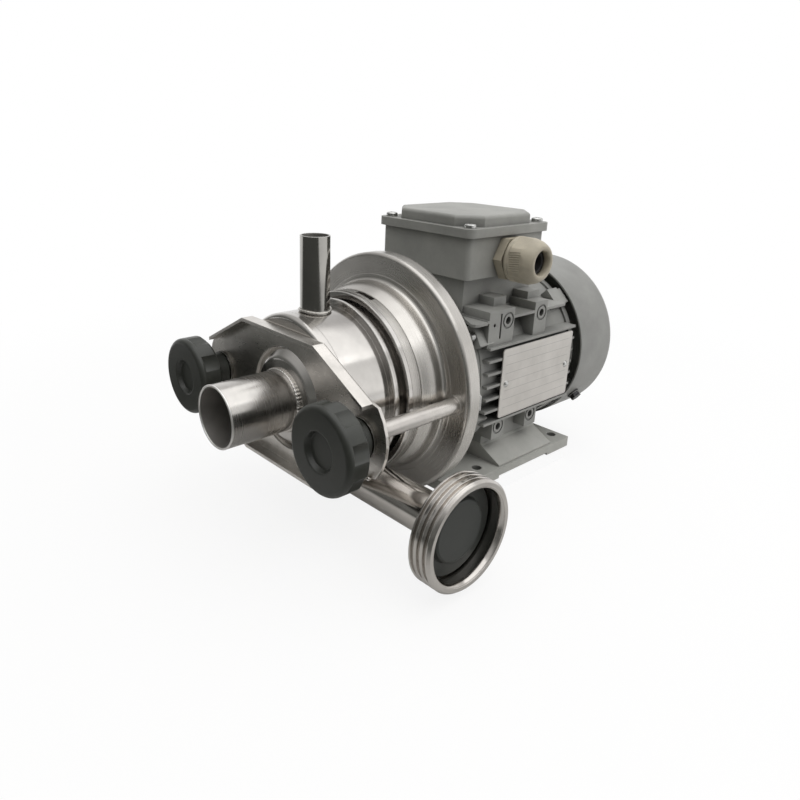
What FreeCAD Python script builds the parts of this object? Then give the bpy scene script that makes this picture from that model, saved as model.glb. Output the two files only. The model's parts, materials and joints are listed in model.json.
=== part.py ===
import FreeCAD, Part
import math
import os
import Sketcher

# Milk pump: a centrifugal pump head with a clamp bridge and two knobs,
# flange-mounted on a foot-mounted motor with its shaft 71 mm above the feet.
# Part frame: X to the gland and discharge side, Y back to the fan, Z up.
# Origin: the middle of the four foot holes, on the underside of the feet.
# Pump axes, used inside every sub-part: the shaft axis is Y and y = 0 is the
# front face of the adaptor dish; the placement moves them into the part frame.

doc = FreeCAD.newDocument("MilkPump")
V = FreeCAD.Vector

SIZES = {
    # motor frame
    "shaft_height": 71.0,
    "foot_mid": 92.0,
    "foot_pitch_x": 112.0,
    "foot_pitch_y": 90.0,
    "foot_hole": 3.5,
    "foot_side": 67.0,
    "foot_thick": 7.7,
    # adaptor
    "dish_r": 81.6,
    "dish_depth": 11.0,
    "sheet": 1.5,
    "hub_r": 59.8,
    "hub_front": 24.0,
    # pump head
    "drum_r": 52.0,
    "drum_front": 65.5,
    "drum_rear": 33.5,
    "suction_r": 19.0,
    "suction_front": 122.0,
    "suction_wall": 1.2,
    "vent_r": 9.0,
    "vent_y": 51.7,
    "vent_top": 97.0,
    "out_r": 12.5,
    "out_y": 47.8,
    "out_z": 44.2,
    "union_face": 129.5,
    "union_r": 32.5,
    "union_bore": 28.4,
    "round_pitch": 4.233,
    # clamp
    "stud_x": 71.0,
    "stud_r": 5.0,
    "bridge_top": 44.0,
    "bridge_flat": 36.0,
    "bridge_end": 90.0,
    "bridge_sheet": 2.0,
    "bridge_rear": 72.0,
    "bridge_lip": 81.0,
    "bridge_hole": 32.6,
    "knob_r": 25.0,
    "knob_head": 15.0,
    "knob_hub": 11.8,
    "knob_seat": 76.0,
    "knob_front": 104.0,
    "stud_tip": 91.0,
    # motor
    "flange_r": 80.0,
    "flange_face": 2.0,
    "stator_r": 52.0,
    "shell_r": 55.5,
    "shell_front": 44.0,
    "shell_rear": 146.0,
    "fin_tip": 59.5,
    "fin_pitch": 9.0,
    "fin_thick": 1.8,
    "cover_r": 64.1,
    "cover_front": 151.3,
    "cover_rear": 198.7,
    "shaft_r": 7.0,
    "bearing_r": 17.5,
    "bearing_bore": 7.5,
    "bearing_wide": 11.0,
    # terminal box
    "box_y": 80.0,
    "box_half": 40.2,
    "box_low": 66.0,
    "box_top": 94.8,
    "lid_half": 43.0,
    "lid_low": 93.3,
    "lid_flange": 99.0,
    "lid_top": 106.2,
    "gland_z": 78.0,
    "gland_flats": 27.0,
    "gland_end": 69.0,
}

sheet = doc.addObject("Spreadsheet::Sheet", "Sizes")
for row, (alias, value) in enumerate(SIZES.items(), start=1):
    sheet.set("A%d" % row, alias)
    sheet.set("B%d" % row, repr(value))
    sheet.setAlias("B%d" % row, alias)
doc.recompute()


class Size:
    """A length with the spreadsheet expression that drives it."""

    def __init__(self, value, text=None):
        self.value = float(value)
        self.text = text if text is not None else repr(float(value))

    def __add__(self, other):
        other = as_size(other)
        return Size(self.value + other.value, "(%s + %s)" % (self.text, other.text))

    def __sub__(self, other):
        other = as_size(other)
        return Size(self.value - other.value, "(%s - %s)" % (self.text, other.text))

    def __mul__(self, factor):
        return Size(self.value * factor, "(%s * %r)" % (self.text, float(factor)))

    def __radd__(self, other):
        return as_size(other) + self

    def __rsub__(self, other):
        return as_size(other) - self

    def __neg__(self):
        return Size(-self.value, "(-1 * %s)" % self.text)


def as_size(value):
    return value if isinstance(value, Size) else Size(value)


def size(alias):
    return Size(float(sheet.get(alias)), "Sizes.%s" % alias)


def num(alias):
    return float(sheet.get(alias))


parts = {}


def place(thing, x=0.0, y=0.0, z=0.0):
    """Moves a sub-part from pump axes into the part frame."""
    thing.Placement = FreeCAD.Placement(
        V(as_size(x).value, as_size(y).value - num("foot_mid"), as_size(z).value + num("shaft_height")),
        FreeCAD.Rotation(),
    )
    thing.setExpression("Placement.Base.x", as_size(x).text)
    thing.setExpression("Placement.Base.y", "%s - Sizes.foot_mid" % as_size(y).text)
    thing.setExpression("Placement.Base.z", "%s + Sizes.shaft_height" % as_size(z).text)


def new_body(label, x=0.0, y=0.0, z=0.0):
    body = doc.addObject("PartDesign::Body", label)
    body.Label = label
    place(body, x, y, z)
    parts[label] = body
    return body


def new_sketch(body, role, offset=0.0, spin=0.0):
    """A sketch on one of the body's origin planes, moved along and turned about its normal."""
    sketch = body.newObject("Sketcher::SketchObject", body.Label + "_sketch")
    plane = [f for f in body.Origin.OriginFeatures if f.Role == role][0]
    sketch.AttachmentSupport = (plane, [""])
    sketch.MapMode = "FlatFace"
    offset = as_size(offset)
    sketch.AttachmentOffset = FreeCAD.Placement(V(0, 0, offset.value), FreeCAD.Rotation(V(0, 0, 1), spin))
    if offset.value or "Sizes" in offset.text:
        sketch.setExpression("AttachmentOffset.Base.z", offset.text)
    return sketch


def pin_point(sketch, geo, pos, x, y):
    """Holds a sketch point at sheet-driven coordinates."""
    for kind, axis, value in (("DistanceX", -2, as_size(x)), ("DistanceY", -1, as_size(y))):
        if value.value == 0.0:
            sketch.addConstraint(Sketcher.Constraint("PointOnObject", geo, pos, axis))
        else:
            index = sketch.addConstraint(Sketcher.Constraint(kind, -1, 1, geo, pos, value.value))
            sketch.setExpression("Constraints[%d]" % index, value.text)


def turned_rectangle(sketch, x0, y0, x1, y1, degrees):
    """A rectangle turned about the sketch's origin."""
    c = math.cos(math.radians(degrees))
    s = math.sin(math.radians(degrees))
    polygon(sketch, [(x * c - y * s, x * s + y * c) for x, y in ((x0, y0), (x1, y0), (x1, y1), (x0, y1))])


def polygon(sketch, points):
    """A closed outline through sheet-driven corner points."""
    points = [(as_size(x), as_size(y)) for x, y in points]
    first = sketch.GeometryCount
    for i, (x, y) in enumerate(points):
        nx, ny = points[(i + 1) % len(points)]
        sketch.addGeometry(Part.LineSegment(V(x.value, y.value, 0), V(nx.value, ny.value, 0)), False)
    count = len(points)
    for i in range(count):
        here = first + i
        after = first + (i + 1) % count
        sketch.addConstraint(Sketcher.Constraint("Coincident", here, 2, after, 1))
    for i, (x, y) in enumerate(points):
        pin_point(sketch, first + i, 1, x, y)


def rectangle(sketch, x0, y0, x1, y1):
    polygon(sketch, [(x0, y0), (x1, y0), (x1, y1), (x0, y1)])


def circle(sketch, x, y, r):
    x, y, r = as_size(x), as_size(y), as_size(r)
    geo = sketch.addGeometry(Part.Circle(V(x.value, y.value, 0), V(0, 0, 1), r.value), False)
    pin_point(sketch, geo, 3, x, y)
    index = sketch.addConstraint(Sketcher.Constraint("Radius", geo, r.value))
    sketch.setExpression("Constraints[%d]" % index, r.text)


def grow(body, kind, sketch, length, reverse=False, both=False):
    """A Pad or Pocket of a sheet-driven length; a pocket has to remove material."""
    doc.recompute()
    before = body.Shape.Volume if body.Tip and not body.Shape.isNull() else 0.0
    feature = body.newObject("PartDesign::" + kind, body.Label + "_" + kind.lower())
    feature.Profile = sketch
    length = as_size(length)
    feature.Length = length.value
    feature.setExpression("Length", length.text)
    feature.Midplane = both
    feature.Reversed = reverse
    sketch.Visibility = False
    doc.recompute()
    change = body.Shape.Volume - before
    if (change if kind == "Pad" else -change) < 1e-6:
        raise RuntimeError("%s: %s %s changed nothing" % (body.Label, kind, feature.Name))
    return feature


def pad(body, sketch, length, reverse=False, both=False):
    return grow(body, "Pad", sketch, length, reverse, both)


def pocket(body, sketch, length, reverse=False, both=False):
    return grow(body, "Pocket", sketch, length, reverse, both)


def turn(body, points, axis="V_Axis", role="XY_Plane"):
    """A turned solid: (radius, axial) corners revolved about the sketch's axis."""
    sketch = new_sketch(body, role)
    polygon(sketch, points)
    feature = body.newObject("PartDesign::Revolution", body.Label + "_turned")
    feature.Profile = sketch
    feature.ReferenceAxis = (sketch, [axis])
    feature.Angle = 360.0
    sketch.Visibility = False
    doc.recompute()
    return feature


def groove(body, points, axis="V_Axis", role="XY_Plane"):
    """Turned material removed from a body."""
    doc.recompute()
    before = body.Shape.Volume
    sketch = new_sketch(body, role)
    polygon(sketch, points)
    feature = body.newObject("PartDesign::Groove", body.Label + "_groove")
    feature.Profile = sketch
    feature.ReferenceAxis = (sketch, [axis])
    feature.Angle = 360.0
    sketch.Visibility = False
    doc.recompute()
    if body.Shape.Volume > before - 1e-6:
        raise RuntimeError("%s: groove cut nothing" % body.Label)
    return feature


def polar(body, feature, count, axis_role="Y_Axis", angle=360.0, reverse=False):
    axis = [f for f in body.Origin.OriginFeatures if f.Role == axis_role][0]
    pattern = body.newObject("PartDesign::PolarPattern", body.Label + "_polar")
    pattern.Originals = feature if isinstance(feature, list) else [feature]
    pattern.Axis = (axis, [""])
    pattern.Angle = angle
    pattern.Reversed = reverse
    pattern.Occurrences = count
    body.Tip = pattern
    doc.recompute()
    return pattern


def mirror(body, features, role="YZ_Plane"):
    plane = [f for f in body.Origin.OriginFeatures if f.Role == role][0]
    twin = body.newObject("PartDesign::Mirrored", body.Label + "_mirrored")
    twin.Originals = features
    twin.MirrorPlane = (plane, [""])
    body.Tip = twin
    doc.recompute()
    return twin


def linear(body, feature, axis_role, length, count, reverse=False):
    axis = [f for f in body.Origin.OriginFeatures if f.Role == axis_role][0]
    pattern = body.newObject("PartDesign::LinearPattern", body.Label + "_row")
    pattern.Originals = [feature]
    pattern.Direction = (axis, [""])
    length = as_size(length)
    pattern.Length = length.value
    pattern.setExpression("Length", length.text)
    pattern.Occurrences = count
    pattern.Reversed = reverse
    body.Tip = pattern
    doc.recompute()
    return pattern


def dress(body, kind, amount, wanted):
    """Fillet or Chamfer on the edges of the current tip that 'wanted' accepts."""
    doc.recompute()
    tip = body.Tip
    names = ["Edge%d" % (i + 1) for i, edge in enumerate(tip.Shape.Edges) if wanted(edge)]
    if not names:
        raise RuntimeError("%s: no edge to dress" % body.Label)
    feature = body.newObject("PartDesign::" + kind, body.Label + "_" + kind.lower())
    feature.Base = (tip, names)
    if kind == "Fillet":
        feature.Radius = amount
    else:
        feature.Size = amount
    doc.recompute()
    return feature


def ring_edge(r, along, axis=1, slack=0.05):
    """Accepts full circular edges of radius r whose centre lies at 'along' on an axis."""

    def wanted(edge):
        curve = edge.Curve
        if curve.TypeId != "Part::GeomCircle":
            return False
        centre = (curve.Center.x, curve.Center.y, curve.Center.z)
        return abs(curve.Radius - r) < slack and abs(centre[axis] - along) < slack

    return wanted


def any_of(*tests):
    return lambda edge: any(test(edge) for test in tests)


def cyl(r, p, d, length):
    return Part.makeCylinder(r, length, V(*p), V(*d))


def put(label, shape, x=0.0, y=0.0, z=0.0):
    """A sub-part from Part's own functions, for sets of loose pieces and swept forms."""
    thing = doc.addObject("Part::Feature", label)
    thing.Label = label
    thing.Shape = shape
    place(thing, x, y, z)
    parts[label] = thing
    return thing


def hexagon(flats, p, d, length, turn_deg=0.0):
    """A hexagonal bar of the given width across flats along the direction d."""
    r = flats / math.sqrt(3.0)
    corners = []
    for i in range(7):
        a = math.radians(60.0 * i + turn_deg)
        corners.append(V(r * math.cos(a), r * math.sin(a), 0))
    face = Part.Face(Part.makePolygon(corners))
    bar = face.extrude(V(0, 0, length))
    bar.Placement = FreeCAD.Placement(V(*p), FreeCAD.Rotation(V(0, 0, 1), V(*d)))
    return bar


# Adaptor: a spun dish over the motor flange, with the hub that carries the pump.
dish = size("dish_r")
wall = size("sheet")
face = size("flange_face")
hub = size("hub_r")
front = size("hub_front")
adaptor = new_body("adaptor_lantern")
turn(adaptor, [
    (hub - 3.0, -front),
    (hub, -front),
    (hub, -front + 7.5),
    (hub + 2.9, -front + 15.5),
    (hub + 2.9, face - wall),
    (dish, face - wall),
    (dish, size("dish_depth")),
    (dish - wall, size("dish_depth")),
    (dish - wall, face),
    (44.0, face),
    (44.0, face - 6.0),
    (hub - 3.0, face - 6.0),
])
slot = new_sketch(adaptor, "XY_Plane")
rectangle(slot, 1.0, -front + 2.2, 16.5, -front + 6.4)
pocket(adaptor, slot, hub * 3.0, both=True)
holes = new_sketch(adaptor, "XZ_Plane")
circle(holes, size("stud_x"), 0.0, size("stud_r") + 0.1)
circle(holes, -size("stud_x"), 0.0, size("stud_r") + 0.1)
for sx in (1, -1):
    for sz in (1, -1):
        circle(holes, 35.4 * sx, 35.4 * sz, 3.3)
pocket(adaptor, holes, 40.0, both=True)
collar_seats = new_sketch(adaptor, "XZ_Plane", -face + wall)
circle(collar_seats, size("stud_x"), 0.0, size("stud_r") + 1.7)
circle(collar_seats, -size("stud_x"), 0.0, size("stud_r") + 1.7)
face_y = num("flange_face") - num("sheet")
dress(adaptor, "Fillet", 4.0, ring_edge(num("hub_r") + 2.9, face_y))
dress(adaptor, "Fillet", 2.6, ring_edge(num("dish_r"), face_y))
dress(adaptor, "Fillet", 1.0, ring_edge(num("dish_r") - num("sheet"), num("flange_face")))
dress(adaptor, "Fillet", 1.2, ring_edge(num("hub_r") + 2.9, -num("hub_front") + 15.5))
pocket(adaptor, collar_seats, 6.0, reverse=True)

# Back plate: closes the drum at the rear and holds the shaft seal.
rear = size("drum_rear")
plate = new_body("back_plate")
turn(plate, [
    (15.0, -rear - 2.5),
    (size("drum_r") - 2.3, -rear - 2.5),
    (size("drum_r") - 2.3, -rear),
    (size("drum_r") + 3.0, -rear),
    (size("drum_r") + 3.0, -rear + 3.0),
    (size("drum_r") - 1.0, -rear + 3.0),
    (size("drum_r") - 1.0, -front - 3.5),
    (hub, -front - 3.5),
    (hub, -front),
    (hub - 3.3, -front),
    (hub - 3.3, -front + 3.0),
    (22.0, -front + 3.0),
    (10.5, -front + 3.0),
    (10.5, -rear + 5.5),
    (15.0, -rear + 5.5),
])
groove(plate, [
    (size("drum_r") - 0.6, -rear),
    (size("drum_r") + 1.8, -rear),
    (size("drum_r") + 1.8, -rear + 1.8),
    (size("drum_r") - 0.6, -rear + 1.8),
])
dress(plate, "Chamfer", 0.5, ring_edge(num("hub_r"), -num("hub_front") - 3.5))
ring = Part.makeTorus(num("drum_r") + 0.6, 0.88, V(0, -num("drum_rear") + 0.9, 0), V(0, 1, 0))
put("casing_ring", ring)

# Drum of the casing with its rear flange and the openings for both pipes.
drum_r = size("drum_r")
drum_front = size("drum_front")
drum = new_body("casing_drum")
turn(drum, [
    (drum_r - 2.0, -drum_front),
    (drum_r, -drum_front),
    (drum_r, -rear - 2.5),
    (drum_r + 4.5, -rear - 2.5),
    (drum_r + 4.5, -rear),
    (drum_r - 2.0, -rear),
])
dress(drum, "Fillet", 0.8, ring_edge(num("drum_r") + 4.5, -num("drum_rear") - 2.5))
vent_hole = new_sketch(drum, "XY_Plane")
circle(vent_hole, 0.0, -size("vent_y"), size("vent_r") - 1.0)
pocket(drum, vent_hole, drum_r * 2.0, reverse=True)
out_hole = new_sketch(drum, "YZ_Plane")
circle(out_hole, -size("out_y"), -size("out_z"), size("out_r") - 1.2)
pocket(drum, out_hole, drum_r * 2.0, reverse=True)


def pipe_cut(label, r, wall_mm, start, end, direction, floor_mm):
    """A pipe standing on the drum, its foot cut to the drum's surface."""
    tube = doc.addObject("Part::Cylinder", label + "_outside")
    bore = doc.addObject("Part::Cylinder", label + "_bore")
    drum_form = doc.addObject("Part::Cylinder", label + "_drum")
    turned = FreeCAD.Rotation(V(0, 0, 1), V(*direction))
    along = V(*direction)
    origin = V(*start)
    tube.Placement = FreeCAD.Placement(origin, turned)
    bore.Placement = FreeCAD.Placement(origin + along * floor_mm, turned)
    drum_form.Placement = FreeCAD.Placement(V(0, -150, 0), FreeCAD.Rotation(V(0, 0, 1), V(0, 1, 0)))
    tube.Height = end.value
    tube.setExpression("Height", end.text)
    bore.Height = end.value + 5.0
    tube.Radius = r.value
    tube.setExpression("Radius", r.text)
    bore.Radius = r.value - wall_mm
    bore.setExpression("Radius", "%s - %r" % (r.text, wall_mm))
    drum_form.Radius = num("drum_r") + 0.05
    drum_form.setExpression("Radius", "Sizes.drum_r + 0.05")
    drum_form.Height = 300.0
    flange_form = doc.addObject("Part::Cylinder", label + "_flange")
    flange_form.Radius = num("drum_r") + 4.6
    flange_form.setExpression("Radius", "Sizes.drum_r + 4.6")
    flange_form.Height = 60.0
    flange_form.Placement = FreeCAD.Placement(
        V(0, -num("drum_rear") - 2.55, 0), FreeCAD.Rotation(V(0, 0, 1), V(0, 1, 0)))
    cutter = doc.addObject("Part::Fuse", label + "_cutter")
    cutter.Base = drum_form
    cutter.Tool = flange_form
    hollow = doc.addObject("Part::Cut", label + "_hollow")
    hollow.Base = tube
    if label == "vent_pipe":
        bead = doc.addObject("Part::Cone", label + "_bead")
        bead.Radius1 = r.value + 1.2
        bead.setExpression("Radius1", r.text + " + 1.2")
        bead.Radius2 = r.value
        bead.setExpression("Radius2", r.text)
        bead.Height = 2.7
        bead.Placement = FreeCAD.Placement(V(start[0], start[1], num("drum_r") - 1.5), turned)
        bead.setExpression(".Placement.Base.z", "Sizes.drum_r - 1.5")
        with_bead = doc.addObject("Part::Fuse", label + "_with_bead")
        with_bead.Base = tube
        with_bead.Tool = bead
        hollow.Base = with_bead
    hollow.Tool = bore
    final = doc.addObject("Part::Cut", label)
    final.Base = hollow
    final.Tool = cutter
    final.Label = label
    place(final)
    parts[label] = final
    doc.recompute()
    return final


pipe_cut("vent_pipe", size("vent_r"), 1.0, (0, -num("vent_y"), 30), size("vent_top") - 30.0, (0, 0, 1), -2.0)
pipe_cut("discharge_pipe", size("out_r"), 1.2, (-1.5, -num("out_y"), -num("out_z")),
         size("union_face") - 14.5, (1, 0, 0), 1.5)

# Threaded discharge union, turned about its own X axis.
bore = size("union_bore")
thread_r = size("union_r")
union = new_body("discharge_union", 0.0, -size("out_y"), -size("out_z"))
end = size("union_face")
turn(union, [
    (end - 16.0, size("out_r") + 0.05),
    (end - 16.0, bore),
    (end - 14.0, thread_r),
    (end, thread_r),
    (end, bore),
    (end - 13.0, bore),
    (end - 13.0, size("out_r") + 0.05),
], "H_Axis")
groove(union, [
    (end, thread_r - 1.4),
    (end, thread_r + 1.0),
    (end - 1.5, thread_r + 1.0),
    (end - 1.5, thread_r),
], "H_Axis")
pitch = size("round_pitch")
for turn_index in range(3):
    root = end - 3.4 - pitch * turn_index
    groove(union, [
        (root + 1.15, thread_r + 0.01),
        (root + 0.55, thread_r - 1.9),
        (root - 0.55, thread_r - 1.9),
        (root - 1.15, thread_r + 0.01),
    ], "H_Axis")
crests = []
for edge_x in [num("union_face") - 3.4 - num("round_pitch") * i for i in range(3)]:
    crests.append(ring_edge(num("union_r") - 1.9, edge_x + 0.55, 0))
    crests.append(ring_edge(num("union_r") - 1.9, edge_x - 0.55, 0))
dress(union, "Fillet", 0.5, any_of(*crests))
dress(union, "Fillet", 0.6, ring_edge(num("union_bore"), num("union_face"), 0))

# Non-return valve in the union: rubber disc on a stem, and the spider that guides the stem.
disc_r = bore - 1.0
valve = new_body("valve_disc", end - 12.95, -size("out_y"), -size("out_z"))
turn(valve, [
    (-18.0, 0.0),
    (-18.0, 2.2),
    (0.0, 2.2),
    (0.0, disc_r),
    (1.8, disc_r),
    (2.4, disc_r - 0.8),
    (2.4, 19.4),
    (4.9, 18.2),
    (5.6, 17.0),
    (5.6, 0.0),
], "H_Axis")
guide = new_body("valve_guide", end - 26.0, -size("out_y"), -size("out_z"))
turn(guide, [
    (0.0, size("out_r") - 2.6),
    (0.0, size("out_r") - 1.25),
    (8.0, size("out_r") - 1.25),
    (8.0, size("out_r") - 2.6),
], "H_Axis")
spoke = new_sketch(guide, "YZ_Plane")
rectangle(spoke, -0.9, 3.0, 0.9, size("out_r") - 1.8)
polar(guide, pad(guide, spoke, 5.0), 3, "X_Axis")
turn(guide, [
    (0.0, 2.3),
    (0.0, 4.2),
    (8.0, 4.2),
    (8.0, 2.3),
], "H_Axis")

# Front cover with its dome, and the suction pipe welded to it.
inlet = size("suction_r")
flat = size("bridge_rear")
cover = new_body("front_cover")
turn(cover, [
    (inlet - size("suction_wall"), -flat - 5.5),
    (inlet, -flat - 5.5),
    (inlet, -flat - 4.9),
    (26.0, -flat - 4.1),
    (31.5, -flat),
    (drum_r, -flat),
    (drum_r, -drum_front),
    (drum_r - 2.25, -drum_front),
    (drum_r - 2.25, -drum_front + 6.0),
    (drum_r - 5.5, -drum_front + 6.0),
    (drum_r - 5.5, -flat + 2.0),
    (31.0, -flat + 2.0),
    (25.6, -flat - 2.3),
    (inlet - size("suction_wall"), -flat - 3.2),
])
groove(cover, [
    (drum_r - 3.7, -drum_front + 1.8),
    (drum_r - 2.0, -drum_front + 1.8),
    (drum_r - 2.0, -drum_front + 4.4),
    (drum_r - 3.7, -drum_front + 4.4),
])
dress(cover, "Fillet", 3.0, ring_edge(num("drum_r"), -num("bridge_rear")))
dress(cover, "Fillet", 5.0, ring_edge(26.0, -num("bridge_rear") - 4.1))
dress(cover, "Fillet", 2.0, ring_edge(31.5, -num("bridge_rear")))
ring = Part.makeTorus(num("drum_r") - 2.9, 0.78, V(0, -num("drum_front") + 3.1, 0), V(0, 1, 0))
put("cover_ring", ring)
suction = new_body("suction_pipe")
turn(suction, [
    (inlet - size("suction_wall"), -size("suction_front")),
    (inlet, -size("suction_front")),
    (inlet, -flat - 5.5),
    (inlet - size("suction_wall"), -flat - 5.5),
])

# Clamp bridge: pressed sheet with a middle hole and lips folded forward.
top = size("bridge_top")
half = size("bridge_flat")
tip = size("bridge_end")
thick = size("bridge_sheet")
bridge = new_body("clamp_bridge")
outline = new_sketch(bridge, "XZ_Plane", flat)
edge_pts = []
for sx, sz in ((1, 1), (1, -1), (-1, -1), (-1, 1)):
    corner = [
        (half * sx, top * sz),
        ((tip - 12.0) * sx, (top - 22.4) * sz),
        ((tip - 7.5) * sx, (top - 23.5) * sz),
        ((tip - 3.4) * sx, (top - 30.0) * sz),
        ((tip - 0.8) * sx, (top - 37.5) * sz),
    ]
    if sz > 0:
        corner.append((tip * sx, 0.0))
    edge_pts += corner if sx * sz > 0 else corner[::-1]
polygon(outline, edge_pts)
circle(outline, 0.0, 0.0, size("bridge_hole"))
circle(outline, size("stud_x"), 0.0, size("stud_r") + 0.6)
circle(outline, -size("stud_x"), 0.0, size("stud_r") + 0.6)
pad(bridge, outline, thick)
lips = new_sketch(bridge, "XZ_Plane", flat)
drop = thick + 0.25
for sz in (1, -1):
    polygon(lips, [
        ((tip - 12.0) * -1.0, (top - 22.4) * sz),
        (half * -1.0, top * sz),
        (half, top * sz),
        (tip - 12.0, (top - 22.4) * sz),
        (tip - 12.0, (top - 22.4 - drop) * sz),
        (half, (top - drop) * sz),
        (half * -1.0, (top - drop) * sz),
        ((tip - 12.0) * -1.0, (top - 22.4 - drop) * sz),
    ])
pad(bridge, lips, size("bridge_lip") - flat)
dress(bridge, "Fillet", 1.6, lambda e: (
    e.Curve.TypeId == "Part::GeomLine"
    and e.Length > 25.0
    and abs(e.CenterOfMass.y + num("bridge_rear")) < 0.01
))

# Stud bolts through the dish into the motor flange, with thin nuts behind it.
stud_r = num("stud_r")
for side, sx in (("right", 1), ("left", -1)):
    stud = new_body("stud_%s" % side, size("stud_x") * sx, 0.0, 0.0)
    turn(stud, [
        (0.0, -size("stud_tip")),
        (size("stud_r") - 1.0, -size("stud_tip")),
        (size("stud_r") - 0.15, -size("stud_tip") + 0.8),
        (size("stud_r") - 0.15, -flat + 3.0),
        (size("stud_r"), -flat + 3.6),
        (size("stud_r"), -1.6),
        (size("stud_r") + 1.6, -1.6),
        (size("stud_r") + 1.6, face - wall),
        (size("stud_r"), face - wall),
        (size("stud_r"), size("dish_depth") + 7.0),
        (0.0, size("dish_depth") + 7.0),
    ])
nuts = []
for sx in (1, -1):
    at = (num("stud_x") * sx, num("dish_depth"), 0.0)
    nut = hexagon(16.0, at, (0, 1, 0), 5.0, 30.0).cut(cyl(stud_r + 0.05, at, (0, 1, 0), 5.0))
    nuts.append(nut)
put("stud_nuts", Part.makeCompound(nuts))

# Knobs: local origin on the seat face, the knob's axis along Y, front towards -Y.
# Each knob rests at its own turn about the axis.
seat_y = size("knob_seat")
head = size("knob_head")
front_y = size("knob_front") - seat_y
for side, sx, rest_turn in (("right", 1, 14.0), ("left", -1, 33.0)):
    washer = new_body("knob_washer_%s" % side, size("stud_x") * sx, -seat_y, 0.0)
    turn(washer, [
        (size("stud_r") + 0.3, 0.0),
        (12.0, 0.0),
        (12.0, size("knob_seat") - flat - thick),
        (size("stud_r") + 0.3, size("knob_seat") - flat - thick),
    ])
    knob = new_body("knob_%s" % side, size("stud_x") * sx, -seat_y, 0.0)
    turn(knob, [
        (8.0, 0.0),
        (size("knob_hub") - 1.2, 0.0),
        (size("knob_hub"), -1.2),
        (size("knob_hub") - 1.0, -front_y + head + 1.0),
        (size("knob_r") - 2.0, -front_y + head),
        (size("knob_r"), -front_y + head - 2.0),
        (size("knob_r"), -front_y),
        (11.5, -front_y),
        (10.0, -front_y + 3.0),
        (0.0, -front_y + 3.0),
        (0.0, -17.9),
        (8.0, -17.9),
    ])
    scallop = new_sketch(knob, "XZ_Plane", front_y - head - 1.0)
    scoop = size("knob_r") + 6.3
    spin_at = math.radians(rest_turn)
    circle(scallop, scoop * math.cos(spin_at), scoop * math.sin(spin_at), 8.5)
    cut = pocket(knob, scallop, head - 2.6, reverse=True)
    polar(knob, cut, 8)
    dress(knob, "Fillet", 3.0, ring_edge(num("knob_r"), -num("knob_front") + num("knob_seat")))
    dress(knob, "Fillet", 1.0, ring_edge(11.5, -num("knob_front") + num("knob_seat")))
    insert = new_body("knob_insert_%s" % side, size("stud_x") * sx, -seat_y, 0.0)
    turn(insert, [
        (size("stud_r") - 0.05, 0.0),
        (7.95, 0.0),
        (7.95, -17.9),
        (0.0, -17.9),
        (0.0, -16.4),
        (size("stud_r") - 0.05, -16.4),
    ])

# Shaft group: motor shaft, pump shaft sleeve, impeller and the shaft seal.
shaft_r = size("shaft_r")
seat_r = size("bearing_bore")
shaft = new_body("motor_shaft")
turn(shaft, [
    (0.0, face - 30.0),
    (shaft_r - 0.8, face - 30.0),
    (shaft_r, face - 29.2),
    (shaft_r, face),
    (seat_r, face),
    (seat_r, 27.0),
    (10.0, 27.0),
    (10.0, 148.0),
    (seat_r, 148.0),
    (seat_r, 159.0),
    (shaft_r, 159.0),
    (shaft_r, 190.0),
    (0.0, 190.0),
])
groove(shaft, [(shaft_r - 0.4, 187.1), (shaft_r + 0.5, 187.1), (shaft_r + 0.5, 188.2), (shaft_r - 0.4, 188.2)])
sleeve = new_body("pump_shaft")
turn(sleeve, [
    (0.0, -64.0),
    (4.2, -64.0),
    (4.95, -63.2),
    (4.95, -58.0),
    (8.0, -58.0),
    (8.0, -rear + 6.0),
    (9.5, -rear + 6.0),
    (9.5, -19.0),
    (12.0, -19.0),
    (12.0, -1.0),
    (shaft_r + 0.02, -1.0),
    (shaft_r + 0.02, face - 30.2),
    (0.0, face - 30.2),
])
screw_holes = new_sketch(sleeve, "XY_Plane")
circle(screw_holes, 0.0, -6.0, 2.5)
circle(screw_holes, 0.0, -13.5, 2.5)
pocket(sleeve, screw_holes, 14.0, reverse=True)
grubs = []
for y in (-6.0, -13.5):
    grub = cyl(2.45, (0, y, 7.05), (0, 0, 1), 4.4)
    grubs.append(grub.cut(hexagon(2.5, (0, y, 9.6), (0, 0, 1), 2.5)))
put("set_screws", Part.makeCompound(grubs))

impeller = new_body("impeller")
turn(impeller, [
    (8.02, -58.0),
    (11.5, -58.0),
    (12.5, -46.5),
    (43.0, -46.0),
    (43.0, -44.0),
    (8.02, -44.0),
])
vane_form = []
for i in range(9):
    r = 11.5 + 31.0 * i / 8.0
    a = math.radians(11.0 * i)
    vane_form.append((r * math.cos(a), r * math.sin(a), a))
vane = new_sketch(impeller, "XZ_Plane", 45.0)
outer_side = [(x - 0.9 * math.sin(a + 0.6), z + 0.9 * math.cos(a + 0.6)) for x, z, a in vane_form]
inner_side = [(x + 0.9 * math.sin(a + 0.6), z - 0.9 * math.cos(a + 0.6)) for x, z, a in vane_form]
polygon(vane, outer_side + inner_side[::-1])
blade = pad(impeller, vane, 13.0)
polar(impeller, blade, 6)
nut = new_body("impeller_nut")
turn(nut, [
    (0.0, -67.5),
    (4.0, -66.8),
    (7.2, -64.5),
    (7.8, -61.0),
    (10.0, -60.0),
    (10.0, -58.0),
    (5.0, -58.0),
    (5.0, -64.6),
    (0.0, -64.6),
])
flats = new_sketch(nut, "XZ_Plane", 60.0)
rectangle(flats, 6.6, -12.0, 14.0, 12.0)
flat_cut = pocket(nut, flats, 8.0, reverse=True)
polar(nut, flat_cut, 6)

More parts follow.
